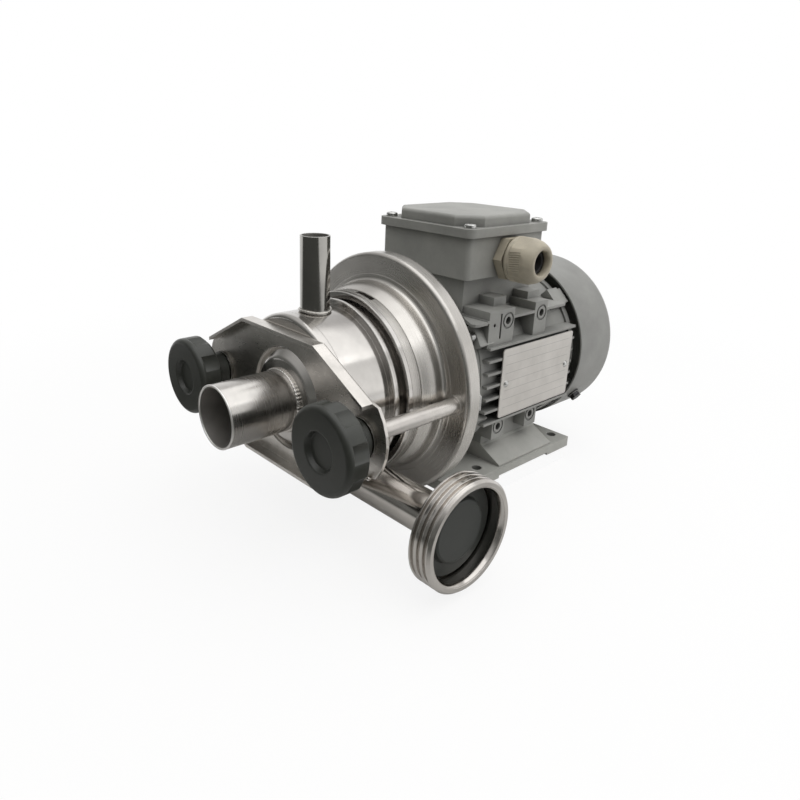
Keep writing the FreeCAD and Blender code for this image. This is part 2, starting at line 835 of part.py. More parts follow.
seal_seat = new_body("seal_seat")
turn(seal_seat, [
    (9.0, -rear - 1.0),
    (13.0, -rear - 1.0),
    (13.0, -rear + 0.5),
    (14.95, -rear + 0.5),
    (14.95, -rear + 5.5),
    (9.0, -rear + 5.5),
])
seal_head = new_body("seal_head")
turn(seal_head, [
    (8.02, -rear - 5.6),
    (13.2, -rear - 5.6),
    (13.2, -rear - 1.05),
    (9.4, -rear - 1.05),
    (9.4, -rear - 2.0),
    (8.02, -rear - 2.0),
])
bellows = new_body("seal_spring")
coil_low = rear + 5.62
fold = (43.98 - coil_low) * 0.125
outer_side = [(13.0 if i % 2 else 10.3, -coil_low - fold * i) for i in range(9)]
inner_side = [(r - 0.9, y) for r, y in outer_side[::-1]]
turn(bellows, outer_side + inner_side)

# Motor: flanged front end shield.
shield = new_body("front_shield")
turn(shield, [
    (8.5, 8.0),
    (38.0, 8.0),
    (38.0, face - 3.5),
    (43.9, face - 3.5),
    (43.9, face),
    (size("flange_r") - 1.2, face),
    (size("flange_r"), face + 1.2),
    (size("flange_r"), size("dish_depth")),
    (62.5, size("dish_depth")),
    (55.2, 20.0),
    (55.0, size("shell_front")),
    (size("stator_r") - 0.1, size("shell_front")),
    (size("stator_r") - 0.1, size("shell_front") + 4.5),
    (49.0, size("shell_front") + 4.5),
    (49.0, 20.0),
    (45.0, 16.0),
    (24.0, 16.0),
    (24.0, 28.0),
    (size("bearing_r") + 0.04, 28.0),
    (size("bearing_r") + 0.04, 16.0),
    (8.5, 16.0),
])
ears = new_sketch(shield, "XZ_Plane", -size("shell_front"))
for degrees in (32.0, 148.0, 212.0, 328.0):
    turned_rectangle(ears, 50.0, -8.0, 62.8, 8.0, degrees)
pad(shield, ears, 6.0)
for sx in (1, -1):
    brow = new_sketch(shield, "XY_Plane", 39.9)
    polygon(brow, [
        (30.0 * sx, 44.0), (36.0 * sx, 43.2), (43.9 * sx, 37.2), (53.6 * sx, 31.4), (56.2 * sx, 32.6),
        (57.0 * sx, 36.0), (57.0 * sx, 44.0),
    ])
    pad(shield, brow, 2.0)
taps = new_sketch(shield, "XZ_Plane", -face)
circle(taps, size("stud_x"), 0.0, size("stud_r") + 0.05)
circle(taps, -size("stud_x"), 0.0, size("stud_r") + 0.05)
for sx in (1, -1):
    for sz in (1, -1):
        circle(taps, 35.4 * sx, 35.4 * sz, 3.0)
pocket(shield, taps, 9.05)
lug_x = 59.0 * math.cos(math.radians(32.0))
lug_z = 59.0 * math.sin(math.radians(32.0))
ear_holes = new_sketch(shield, "XZ_Plane", -size("shell_front"))
for sx in (1, -1):
    for sz in (1, -1):
        circle(ear_holes, lug_x * sx, lug_z * sz, 2.2)
pocket(shield, ear_holes, 8.0, reverse=True)
dress(shield, "Chamfer", 0.8, ring_edge(num("flange_r"), num("dish_depth")))

# Finned stator housing: shell, side and bottom fins, box neck, rails with ring bosses.
start = size("shell_front")
span = size("shell_rear") - start
housing = new_body("stator_housing")
turn(housing, [
    (48.0, start),
    (size("shell_r"), start),
    (size("shell_r"), start + span),
    (48.0, start + span),
])
thick_fin = size("fin_thick")
fins = new_sketch(housing, "XZ_Plane", -start - 2.0)
for i in range(7):
    fin_z = size("fin_pitch") * i - 30.5
    rectangle(fins, 44.5, fin_z - thick_fin * 0.5, size("fin_tip"), fin_z + thick_fin * 0.5)
    rectangle(fins, -44.5, fin_z - thick_fin * 0.5, -size("fin_tip"), fin_z + thick_fin * 0.5)
for i in range(6):
    fin_x = size("fin_pitch") * i - 22.5
    rectangle(fins, fin_x - thick_fin * 0.5, -44.0, fin_x + thick_fin * 0.5, -61.0)
pad(housing, fins, span - 2.0, reverse=True)
profile = new_sketch(housing, "XZ_Plane", -start)
for sx in (1, -1):
    rectangle(profile, 30.0 * sx, 40.5, 57.0 * sx, 42.4)
pad(housing, profile, 88.0, reverse=True)
rail_end = new_sketch(housing, "XZ_Plane", -60.0)
for sx in (1, -1):
    polygon(rail_end, [
        (24.0 * sx, -52.0), (47.5 * sx, -52.0), (47.5 * sx, -29.0), (42.5 * sx, -29.0), (28.0 * sx, -44.5),
        (24.0 * sx, -46.5),
    ])
pad(housing, rail_end, 62.0, reverse=True)
for sx in (1, -1):
    blocks = new_sketch(housing, "YZ_Plane", 34.0 * sx)
    for y0, y1, z0, z1 in (
        (45.5, 72.0, 23.5, 48.0),
        (95.0, 109.5, 23.5, 48.0),
        (59.0, 72.5, -45.5, -31.0),
        (97.0, 110.5, -45.5, -31.0),
    ):
        rectangle(blocks, y0, z0, y1, z1)
    pad(housing, blocks, 23.0, reverse=sx < 0)
    towers = new_sketch(housing, "YZ_Plane", 33.0 * sx)
    rectangle(towers, 60.5, 40.0, 73.5, 53.8)
    rectangle(towers, 98.0, 40.0, 111.5, 53.3)
    pad(housing, towers, 14.5, reverse=sx < 0)
    slots = new_sketch(housing, "YZ_Plane", 57.0 * sx)
    rectangle(slots, 57.0, 28.5, 58.6, 45.5)
    pocket(housing, slots, 2.0, reverse=sx < 0)
front_lugs = new_sketch(housing, "XZ_Plane", -start)
rear_lugs = new_sketch(housing, "XZ_Plane", -start - span)
for front_turn, rear_turn in ((32.0, 45.0), (148.0, 135.0), (212.0, 225.0), (328.0, 315.0)):
    turned_rectangle(front_lugs, 50.0, -8.0, 62.8, 8.0, front_turn)
    turned_rectangle(rear_lugs, 50.0, -7.0, 62.0, 7.0, rear_turn)
pad(housing, front_lugs, 8.0, reverse=True)
pad(housing, rear_lugs, 12.0)
neck = new_sketch(housing, "XY_Plane", size("box_low"))
rectangle(neck, -34.5, start, 34.5, size("box_y") + 37.0)
pad(housing, neck, 28.0, reverse=True)
stator_bore = new_sketch(housing, "XZ_Plane", -start)
circle(stator_bore, 0.0, 0.0, size("stator_r") + 0.03)
pocket(housing, stator_bore, span * 2.0, both=True)
wire_way = new_sketch(housing, "XY_Plane", size("box_low"))
rectangle(wire_way, -16.0, size("box_y") - 22.0, 16.0, size("box_y") + 22.0)
pocket(housing, wire_way, 30.0)
box_taps = new_sketch(housing, "XY_Plane", size("box_low"))
for sy in (1, -1):
    circle(box_taps, 24.0 * sy, size("box_y") - 30.0, 2.0)
    circle(box_taps, 22.0 * sy, size("box_y") + 26.0, 2.0)
pocket(housing, box_taps, 12.0)
foot_taps = new_sketch(housing, "XY_Plane", -52.0)
for sx in (1, -1):
    for y in (78.0, 104.0):
        circle(foot_taps, 38.0 * sx, y, 3.0)
pocket(housing, foot_taps, 8.0, reverse=True)
lug_taps = new_sketch(housing, "XZ_Plane", -start)
rear_taps = new_sketch(housing, "XZ_Plane", -start - span)
for sx in (1, -1):
    for sz in (1, -1):
        circle(lug_taps, lug_x * sx, lug_z * sz, 2.0)
        circle(rear_taps, 40.5 * sx, 40.5 * sz, 2.5)
pocket(housing, lug_taps, 7.0)
pocket(housing, rear_taps, 10.0, reverse=True)
for sx in (1, -1):
    rings = new_sketch(housing, "YZ_Plane", 57.0 * sx)
    holes = new_sketch(housing, "YZ_Plane", 57.0 * sx)
    for y, z in ((65.5, 39.8), (103.0, 39.8), (65.5, -36.6), (103.0, -36.6)):
        circle(rings, y, z, 5.7)
        circle(rings, y, z, 4.4)
        circle(holes, y, z, 2.6)
    circle(holes, 51.3, 38.5, 1.2)
    pocket(housing, rings, 0.7, reverse=sx < 0)
    pocket(housing, holes, 9.0, reverse=sx < 0)
rivet_pads = new_sketch(housing, "YZ_Plane", size("shell_r") - 2.0)
rivet_holes = new_sketch(housing, "YZ_Plane", size("fin_tip"))
for y in (65.5, 136.5):
    rectangle(rivet_pads, y - 3.6, -8.6, y + 3.6, 0.4)
    circle(rivet_holes, y, -4.1, 1.55)
pad(housing, rivet_pads, size("fin_tip") - size("shell_r") + 2.0)
pocket(housing, rivet_holes, 6.5)

# Stator, rotor and bearings.
core = new_body("stator_core")
turn(core, [(31.0, 60.0), (size("stator_r"), 60.0), (size("stator_r"), 128.0), (31.0, 128.0)])
coils = []
for y0, y1 in ((51.0, 60.0), (128.0, 140.5)):
    outer = cyl(47.0, (0, y0, 0), (0, 1, 0), y1 - y0)
    ring = outer.cut(cyl(34.0, (0, y0 - 1, 0), (0, 1, 0), y1 - y0 + 2))
    edges = [e for e in ring.Edges if e.Curve.TypeId == "Part::GeomCircle"]
    coils.append(ring.makeFillet(3.0, edges))
put("windings", Part.makeCompound(coils))
rotor = new_body("rotor_core")
turn(rotor, [
    (10.02, 58.0), (20.0, 58.0), (20.0, 54.0), (28.5, 54.0), (28.5, 60.0), (30.6, 60.0),
    (30.6, 128.0), (28.5, 128.0), (28.5, 134.0), (20.0, 134.0), (20.0, 130.0), (10.02, 130.0),
])
for label, y0 in (("front_bearing", 16.0), ("rear_bearing", 148.05)):
    bearing = new_body(label)
    wide = size("bearing_wide") - 0.1
    turn(bearing, [
        (seat_r + 0.03, y0),
        (9.6, y0),
        (9.6, y0 + 0.5),
        (15.2, y0 + 0.5),
        (15.2, y0),
        (size("bearing_r"), y0),
        (size("bearing_r"), wide + y0),
        (15.2, wide + y0),
        (15.2, wide + (y0 - 0.5)),
        (9.6, wide + (y0 - 0.5)),
        (9.6, wide + y0),
        (seat_r + 0.03, wide + y0),
    ])

# Rear end shield with three arms that carry the fan cover.
back = size("shell_rear")
rear_end = new_body("rear_shield")
turn(rear_end, [
    (size("bearing_r") + 0.04, back + 0.5),
    (24.0, back + 0.5),
    (24.0, back + 2.0),
    (45.0, back + 1.0),
    (48.5, back - 2.0),
    (48.5, back - 5.0),
    (size("stator_r") - 0.1, back - 5.0),
    (size("stator_r") - 0.1, back),
    (57.0, back),
    (57.0, back + 4.5),
    (52.5, back + 4.5),
    (46.0, back + 6.5),
    (24.0, back + 7.5),
    (24.0, back + 17.0),
    (8.6, back + 17.0),
    (8.6, back + 13.1),
    (size("bearing_r") + 0.04, back + 13.1),
])
rear_ear = new_sketch(rear_end, "XZ_Plane", -back, 45.0)
rectangle(rear_ear, 53.0, -6.0, 61.5, 6.0)
polar(rear_end, pad(rear_end, rear_ear, 4.5, reverse=True), 4)
arm = new_sketch(rear_end, "XZ_Plane", -back - 1.0)
rectangle(arm, -4.5, 53.0, 4.5, size("cover_r") - 1.6)
arm_pad = pad(rear_end, arm, 25.0, reverse=True)
polar(rear_end, arm_pad, 2, angle=125.0)
polar(rear_end, arm_pad, 2, angle=125.0, reverse=True)
rear_holes = new_sketch(rear_end, "XZ_Plane", -back)
for sx in (1, -1):
    for sz in (1, -1):
        circle(rear_holes, 40.5 * sx, 40.5 * sz, 2.7)
pocket(rear_end, rear_holes, 20.0, both=True)
arm_tap = new_sketch(rear_end, "XY_Plane")
circle(arm_tap, 0.0, 167.0, 2.5)
arm_hole = pocket(rear_end, arm_tap, size("cover_r") + 5.0, reverse=True)
polar(rear_end, arm_hole, 2, angle=125.0)
polar(rear_end, arm_hole, 2, angle=125.0, reverse=True)

# Fan, its clip, and the cover with a ring grille.
fan_r = size("cover_r") - 4.6
fan = new_body("cooling_fan")
turn(fan, [
    (shaft_r + 0.02, 168.0),
    (11.0, 168.0),
    (11.0, 173.5),
    (fan_r, 173.5),
    (fan_r, 175.5),
    (11.0, 175.5),
    (11.0, 187.0),
    (shaft_r + 0.02, 187.0),
])
fan_blade = new_sketch(fan, "XZ_Plane", -174.5)
rectangle(fan_blade, 10.0, -0.9, fan_r, 0.9)
polar(fan, pad(fan, fan_blade, 14.5, reverse=True), 8)
clip = cyl(9.2, (0, 187.15, 0), (0, 1, 0), 1.0).cut(cyl(6.62, (0, 187.0, 0), (0, 1, 0), 2.0))
clip = clip.cut(Part.makeBox(4.0, 3.0, 12.0, V(-2.0, 186.5, 0)))
put("fan_clip", clip)
hood = new_body("fan_cover")
hood_r = size("cover_r")
turn(hood, [
    (hood_r - 1.2, size("cover_front")),
    (hood_r, size("cover_front")),
    (hood_r, size("cover_rear")),
    (0.0, size("cover_rear")),
    (0.0, size("cover_rear") - 1.2),
    (hood_r - 1.2, size("cover_rear") - 1.2),
])
dress(hood, "Fillet", 8.0, ring_edge(num("cover_r"), num("cover_rear")))
dress(hood, "Fillet", 6.8, ring_edge(num("cover_r") - 1.2, num("cover_rear") - 1.2))
grille = new_sketch(hood, "XZ_Plane", -size("cover_rear"))
for r0, r1 in ((16.0, 22.0), (27.0, 33.0), (38.0, 44.0), (49.0, 55.0)):
    a = math.radians(15.0) - 1.6 / r0
    b = math.radians(15.0) - 1.6 / r1
    polygon(grille, [
        (r0 * math.cos(a), -r0 * math.sin(a)),
        (r1 * math.cos(b), -r1 * math.sin(b)),
        (r1, 0.0),
        (r1 * math.cos(b), r1 * math.sin(b)),
        (r0 * math.cos(a), r0 * math.sin(a)),
        (r0, 0.0),
    ])
polar(hood, pocket(hood, grille, 3.0, reverse=True), 12)
screw_hole = new_sketch(hood, "XY_Plane")
circle(screw_hole, 0.0, 167.0, 2.7)
hood_hole = pocket(hood, screw_hole, hood_r + 5.0, reverse=True)
polar(hood, hood_hole, 2, angle=125.0)
polar(hood, hood_hole, 2, angle=125.0, reverse=True)


def socket_screw(r, head_r, head, shank, p, d, key):
    """A socket-head screw: the head stands back from p against d, the shank runs along d."""
    p = V(*p)
    d = V(*d)
    body = Part.makeCylinder(head_r, head, p - d * head, d)
    body = body.fuse(Part.makeCylinder(r, shank, p, d)).removeSplitter()
    seat_at = p - d * head
    return body.cut(hexagon(key, (seat_at.x, seat_at.y, seat_at.z), (d.x, d.y, d.z), head * 0.55))


def pan_screw(r, head_r, head, shank, p, d):
    """A pan-head screw with a cross recess."""
    p = V(*p)
    d = V(*d)
    top_at = p - d * head
    cap = Part.makeCylinder(head_r, head, top_at, d)
    rim = [e for e in cap.Edges if e.Curve.TypeId == "Part::GeomCircle" and (e.Curve.Center - top_at).Length < 0.01]
    cap = cap.makeFillet(head * 0.45, rim)
    body = cap.fuse(Part.makeCylinder(r, shank, p, d)).removeSplitter()
    for long_side, short_side in ((head_r * 1.1, 0.9), (0.9, head_r * 1.1)):
        bar = Part.makeBox(long_side, short_side, 1.5, V(-long_side / 2, -short_side / 2, 0))
        bar.Placement = FreeCAD.Placement(top_at, FreeCAD.Rotation(V(0, 0, 1), d))
        body = body.cut(bar)
    return body


# Screws that hold the shields, the adaptor and the fan cover.
corners = [(1, 1), (1, -1), (-1, -1), (-1, 1)]
shell_y = num("shell_front")
back_y = num("shell_rear") + 4.5
put("front_shield_screws", Part.makeCompound([
    socket_screw(1.95, 3.5, 4.0, 12.5, (lug_x * sx, shell_y - 6.0, lug_z * sz), (0, 1, 0), 3.0) for sx, sz in corners]))
put("rear_shield_screws", Part.makeCompound([
    socket_screw(2.45, 4.25, 5.0, 12.0, (40.5 * sx, back_y, 40.5 * sz), (0, -1, 0), 4.0) for sx, sz in corners]))
put("adaptor_screws", Part.makeCompound([
    socket_screw(2.95, 5.0, 6.0, 14.0, (35.4 * sx, num("flange_face") - 6.0, 35.4 * sz), (0, 1, 0), 5.0)
    for sx, sz in corners]))
hood_screws = []
for angle in (0.0, 125.0, -125.0):
    a = math.radians(angle)
    out = V(math.sin(a), 0, math.cos(a))
    foot_at = out * (num("cover_r") + 0.05) + V(0, 167.0, 0)
    washer_part = Part.makeCylinder(5.0, 1.0, foot_at, out)
    shank_part = Part.makeCylinder(2.45, 9.0, foot_at, out * -1)
    head_at = foot_at + out * 1.0
    head_part = hexagon(8.0, (head_at.x, head_at.y, head_at.z), (out.x, out.y, out.z), 3.5)
    hood_screws.append(washer_part.fuse(shank_part).fuse(head_part).removeSplitter())
put("fan_cover_screws", Part.makeCompound(hood_screws))

# Feet: one on each side, screwed up into the housing rails.
low = -size("shaft_height")
for side, sx in (("right", 1), ("left", -1)):
    foot = new_body("foot_%s" % side)
    plate_form = new_sketch(foot, "XZ_Plane", -40.0)
    polygon(plate_form, [
        (28.0 * sx, low),
        (size("foot_side") * sx, low),
        (size("foot_side") * sx, low + size("foot_thick")),
        (28.0 * sx, low + size("foot_thick")),
    ])
    pad(foot, plate_form, 104.0, reverse=True)
    wedge = new_sketch(foot, "XZ_Plane", -60.0)
    polygon(wedge, [
        (30.0 * sx, low + size("foot_thick") - 1.0),
        ((size("foot_side") - 1.5) * sx, low + size("foot_thick") - 1.0),
        ((size("foot_side") - 1.5) * sx, low + size("foot_thick") + 1.2),
        (49.0 * sx, -53.5),
        (47.5 * sx, -52.0),
        (30.0 * sx, -52.0),
    ])
    pad(foot, wedge, 62.0, reverse=True)
    relief = new_sketch(foot, "XY_Plane", low)
    rectangle(relief, 20.0 * sx, 59.0, 75.0 * sx, 117.0)
    pocket(foot, relief, 2.0, reverse=True)
    hollow = new_sketch(foot, "XY_Plane", low)
    rectangle(hollow, 46.0 * sx, 66.0, 58.0 * sx, 116.0)
    pocket(foot, hollow, 7.7, reverse=True)
    bolt = new_sketch(foot, "XY_Plane", low)
    for sy in (1, -1):
        circle(bolt, size("foot_pitch_x") * 0.5 * sx, size("foot_mid") + size("foot_pitch_y") * 0.5 * sy, size("foot_hole"))
    for y in (78.0, 104.0):
        circle(bolt, 38.0 * sx, y, 3.2)
    pocket(foot, bolt, 30.0, reverse=True)
    bores = new_sketch(foot, "XY_Plane", low)
    for y in (78.0, 104.0):
        circle(bores, 38.0 * sx, y, 5.6)
    pocket(foot, bores, 8.0, reverse=True)
foot_floor = 8.0 - num("shaft_height")
put("foot_screws", Part.makeCompound([
    socket_screw(2.95, 5.0, 6.0, 17.0, (38.0 * sx, y, foot_floor), (0, 0, 1), 5.0)
    for sx in (1, -1) for y in (78.0, 104.0)]))

# Bare rating plate on the fin tips, with two rivets.
tag = new_body("nameplate")
tag_form = new_sketch(tag, "YZ_Plane", size("fin_tip"))
rectangle(tag_form, 60.0, -28.2, 142.0, 21.0)
pad(tag, tag_form, 0.8)
rivet_way = new_sketch(tag, "YZ_Plane", size("fin_tip"))
for y in (65.5, 136.5):
    circle(rivet_way, y, -4.1, 1.6)
pocket(tag, rivet_way, 2.0, both=True)
dress(tag, "Fillet", 2.0, lambda e: e.Curve.TypeId == "Part::GeomLine" and abs(e.Length - 0.8) < 0.01)
rivets = []
for y in (65.5, 136.5):
    x = num("fin_tip") + 0.8
    dome = Part.makeSphere(3.4, V(x - 2.2, y, -4.1)).common(Part.makeBox(4.0, 10.0, 10.0, V(x, y - 5.0, -9.1)))
    rivets.append(dome.fuse(cyl(1.5, (x - 6.5, y, -4.1), (1, 0, 0), 6.5)).removeSplitter())
put("nameplate_rivets", Part.makeCompound(rivets))

# Terminal box: open-topped body with corner posts, floor hole and a tapped gland boss.
box_y = size("box_y")
box_half = size("box_half")
post_at = num("box_half") - 4.2
low = size("box_low")
high = size("box_top")
box = new_body("terminal_box")
walls = new_sketch(box, "XY_Plane", low)
rectangle(walls, -box_half, box_y - box_half, box_half, box_y + box_half)
pad(box, walls, high - low)
room = new_sketch(box, "XY_Plane", low + 3.0)
rectangle(room, -box_half + 3.0, box_y - box_half + 3.0, box_half - 3.0, box_y + box_half - 3.0)
pocket(box, room, high - low, reverse=True)
posts = new_sketch(box, "XY_Plane", low)
for sx in (1, -1):
    for sy in (1, -1):
        rectangle(posts, 30.0 * sx, box_y + 30.0 * sy, (box_half - 1.0) * sx, box_y + (box_half - 1.0) * sy)
pad(box, posts, high - low)
boss = new_sketch(box, "YZ_Plane", box_half - 9.0)
rectangle(boss, box_y - 14.5, low, box_y + 14.5, size("gland_z") + 14.0)
pad(box, boss, 8.0)
gland_way = new_sketch(box, "YZ_Plane", box_half - 12.0)
circle(gland_way, box_y, size("gland_z"), 11.25)
pocket(box, gland_way, 20.0, reverse=True)
floor_cuts = new_sketch(box, "XY_Plane", low)
rectangle(floor_cuts, -14.0, box_y - 20.0, 14.0, box_y + 14.0)
for sx in (1, -1):
    circle(floor_cuts, 24.0 * sx, box_y - 30.0, 2.2)
    circle(floor_cuts, 22.0 * sx, box_y + 26.0, 2.2)
pocket(box, floor_cuts, 8.0, both=True)
post_taps = new_sketch(box, "XY_Plane", high)
for sx in (1, -1):
    for sy in (1, -1):
        circle(post_taps, post_at * sx, box_y + post_at * sy, 2.0)
pocket(box, post_taps, 14.0)
dress(box, "Fillet", 4.0, lambda e: (
    e.Curve.TypeId == "Part::GeomLine" and e.Length > 20.0
    and abs(abs(e.CenterOfMass.x) - num("box_half")) < 0.01
    and abs(abs(e.CenterOfMass.y - num("box_y")) - num("box_half")) < 0.01))
gasket = new_body("box_gasket")
gasket_form = new_sketch(gasket, "XY_Plane", high)
rectangle(gasket_form, -box_half + 0.5, box_y - box_half + 0.5, box_half - 0.5, box_y + box_half - 0.5)
polygon(gasket_form, [
    (-box_half + 3.0, box_y - 28.0), (-28.0, box_y - 28.0), (-28.0, box_y - box_half + 3.0),
    (28.0, box_y - box_half + 3.0), (28.0, box_y - 28.0), (box_half - 3.0, box_y - 28.0),
    (box_half - 3.0, box_y + 28.0), (28.0, box_y + 28.0), (28.0, box_y + box_half - 3.0),
    (-28.0, box_y + box_half - 3.0), (-28.0, box_y + 28.0), (-box_half + 3.0, box_y + 28.0),
])
for sx in (1, -1):
    for sy in (1, -1):
        circle(gasket_form, post_at * sx, box_y + post_at * sy, 2.3)
pad(gasket, gasket_form, 1.5)
put("box_screws", Part.makeCompound([
    pan_screw(1.95, 4.0, 2.6, 13.0, (24.0 * sx, num("box_y") - 30.0, num("box_low") + 3.0), (0, 0, -1)) for sx in (1, -1)]
    + [pan_screw(1.95, 4.0, 2.6, 13.0, (22.0 * sx, num("box_y") + 26.0, num("box_low") + 6.0), (0, 0, -1))
       for sx in (1, -1)]))
board = new_body("terminal_board")
board_form = new_sketch(board, "XY_Plane", low + 3.0)
rectangle(board_form, -27.0, box_y + 17.0, 27.0, box_y + 34.0)
pad(board, board_form, 8.0)
board_bores = new_sketch(board, "XY_Plane", low + 11.0)
stud_holes = new_sketch(board, "XY_Plane", low + 11.0)
for sx in (1, -1):
    circle(board_bores, 22.0 * sx, box_y + 26.0, 4.3)
    circle(stud_holes, 22.0 * sx, box_y + 26.0, 2.2)
pocket(board, board_bores, 5.0)
spots = [(x, y) for x in (-13.0, 0.0, 13.0) for y in (21.0, 30.0)]
for x, y in spots:
    circle(stud_holes, x, box_y + y, 2.0)
pocket(board, stud_holes, 12.0)
posts_up = []
for x, y in spots:
    base = (x, num("box_y") + y, num("box_low") + 3.0)
    bolt_up = cyl(1.98, base, (0, 0, 1), 18.0)
    clamp_nut = hexagon(7.0, (base[0], base[1], base[2] + 8.0), (0, 0, 1), 3.0)
    posts_up.append(bolt_up.fuse(clamp_nut).removeSplitter())
put("terminal_studs", Part.makeCompound(posts_up))

# Lid: flat rim with a skirt, and a raised eight-sided middle.
lid_half = size("lid_half")
rim = size("lid_flange")
lid = new_body("box_lid")
lid_form = new_sketch(lid, "XY_Plane", size("lid_low"))
rectangle(lid_form, -lid_half, box_y - lid_half, lid_half, box_y + lid_half)
pad(lid, lid_form, rim - size("lid_low"))
dress(lid, "Fillet", 6.0, lambda e: e.Curve.TypeId == "Part::GeomLine" and abs(e.Curve.Direction.z) > 0.9)


def eight_sided(sketch, half, cut):
    polygon(sketch, [
        (half, box_y - half + cut), (half, box_y + half - cut), (half - cut, box_y + half),
        (-half + cut, box_y + half), (-half, box_y + half - cut), (-half, box_y - half + cut),
        (-half + cut, box_y - half), (half - cut, box_y - half),
    ])


plateau = new_sketch(lid, "XY_Plane", rim - 1.0)
eight_sided(plateau, box_half - 2.0, 14.0)
pad(lid, plateau, size("lid_top") - rim + 1.0)
dress(lid, "Fillet", 2.5, lambda e: (
    e.Curve.TypeId == "Part::GeomLine" and abs(e.CenterOfMass.z - num("lid_top")) < 0.01))
skirt = new_sketch(lid, "XY_Plane", size("lid_low"))
rectangle(skirt, -box_half - 0.4, box_y - box_half - 0.4, box_half + 0.4, box_y + box_half + 0.4)
pocket(lid, skirt, high + 1.5 - size("lid_low"), reverse=True)
crown = new_sketch(lid, "XY_Plane", size("lid_low"))
eight_sided(crown, box_half - 5.5, 14.0)
pocket(lid, crown, size("lid_top") - 3.0 - size("lid_low"), reverse=True)
lid_holes = new_sketch(lid, "XY_Plane", rim)
for sx in (1, -1):
    for sy in (1, -1):
        circle(lid_holes, post_at * sx, box_y + post_at * sy, 2.3)
pocket(lid, lid_holes, 8.0)
put("lid_screws", Part.makeCompound([
    pan_screw(1.95, 4.0, 2.8, 16.0, (post_at * sx, num("box_y") + post_at * sy, num("lid_flange")), (0, 0, -1))
    for sx, sy in corners]))

# Cable gland on the right wall of the box, turned about its own X axis.
cap_end = size("gland_end")
gland = new_body("gland_body", 0.0, box_y, size("gland_z"))
turn(gland, [
    (box_half - 10.0, 8.3),
    (box_half - 10.0, 11.2),
    (box_half + 6.0, 11.2),
    (box_half + 6.0, 10.8),
    (cap_end - 8.3, 10.8),
    (cap_end - 8.3, 8.3),
], "H_Axis")
hex_form = new_sketch(gland, "YZ_Plane", box_half)
hex_r = size("gland_flats") * (1.0 / math.sqrt(3.0))
polygon(hex_form, [
    (hex_r * math.cos(math.radians(60.0 * i)), hex_r * math.sin(math.radians(60.0 * i)))
    for i in range(6)])
circle(hex_form, 0.0, 0.0, 8.3)
pad(gland, hex_form, 6.5)
cap = new_body("gland_nut", 0.0, box_y, size("gland_z"))
turn(cap, [
    (box_half + 8.0, 10.9),
    (box_half + 8.0, 14.6),
    (box_half + 9.0, 15.3),
    (cap_end - 9.0, 15.3),
    (cap_end - 7.0, 14.6),
    (cap_end - 2.5, 13.2),
    (cap_end, 11.7),
    (cap_end, 8.0),
    (cap_end - 5.0, 8.0),
    (cap_end - 8.0, 10.9),
], "H_Axis")
dress(cap, "Fillet", 1.5, any_of(ring_edge(13.2, num("gland_end") - 2.5, 0), ring_edge(14.6, num("gland_end") - 7.0, 0)))
packing = new_body("gland_seal", 0.0, box_y, size("gland_z"))
turn(packing, [
    (box_half + 11.0, 6.0),
    (box_half + 11.0, 8.25),
    (cap_end - 6.0, 8.25),
    (cap_end - 5.4, 7.7),
    (cap_end - 5.4, 6.0),
], "H_Axis")

# Everything is checked before a single file is written.
doc.recompute()
for thing in doc.Objects:
    if "Invalid" in thing.State or "Error" in thing.State:
        raise RuntimeError("%s is in state %s" % (thing.Label, thing.State))
for label, thing in parts.items():
    if thing.Shape.isNull() or not thing.Shape.isValid():
        raise RuntimeError("%s has no valid shape" % label)
    if not thing.Shape.Solids:
        raise RuntimeError("%s holds no solid" % label)
os.makedirs("parts", exist_ok=True)
for label, thing in parts.items():
    thing.Shape.exportStep("parts/%s.step" % label)
print("%d sub-parts written" % len(parts))
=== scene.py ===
# Sanitary milk pump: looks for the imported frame, in metres, Z up, pump head towards -Y.
import json
import math

import bmesh
import bpy
from mathutils import Matrix, Vector

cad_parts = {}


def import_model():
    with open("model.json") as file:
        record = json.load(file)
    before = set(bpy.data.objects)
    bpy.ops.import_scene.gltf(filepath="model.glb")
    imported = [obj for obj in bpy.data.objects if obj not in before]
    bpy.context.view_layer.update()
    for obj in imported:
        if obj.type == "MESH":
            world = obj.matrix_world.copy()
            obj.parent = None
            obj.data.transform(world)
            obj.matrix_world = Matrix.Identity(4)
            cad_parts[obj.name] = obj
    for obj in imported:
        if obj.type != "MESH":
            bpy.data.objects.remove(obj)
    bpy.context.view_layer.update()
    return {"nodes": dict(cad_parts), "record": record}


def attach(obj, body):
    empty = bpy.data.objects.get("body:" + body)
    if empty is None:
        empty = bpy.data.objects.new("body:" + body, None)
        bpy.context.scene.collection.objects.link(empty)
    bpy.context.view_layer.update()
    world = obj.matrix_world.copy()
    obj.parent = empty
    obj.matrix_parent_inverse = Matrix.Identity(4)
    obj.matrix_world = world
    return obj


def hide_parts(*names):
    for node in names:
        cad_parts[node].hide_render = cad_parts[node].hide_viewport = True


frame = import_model()
nodes = frame["nodes"]

# Axes of the shaft, the vent, the outlet and the gland, through the record's mounts.
mounts = {mount["name"]: mount["pos_m"] for mount in frame["record"]["mounts"]}
SHAFT = mounts["suction_pin"][2]
AXIS = (0.0, 0.0, SHAFT)
VENT = (*mounts["vent_pin"][:2], 0.0)
OUTLET = (0.0, *mounts["discharge_thread"][1:])
GLAND = (0.0, *mounts["gland_bore"][1:])
# The middle of the motor's flange face, from which the pump's outlines are measured.
PUMP = (0.0, -0.092, SHAFT)
DRUM_RADIUS = 0.052
# The floor lies just below the dish, which reaches lower than the feet and the union.
FLOOR = -0.0107
# Millimetres to a metre, for outlines that are written in millimetres.
MM = 1000.0

BODY = "motor_and_casing"
WHITE = (1.0, 1.0, 1.0, 1.0)


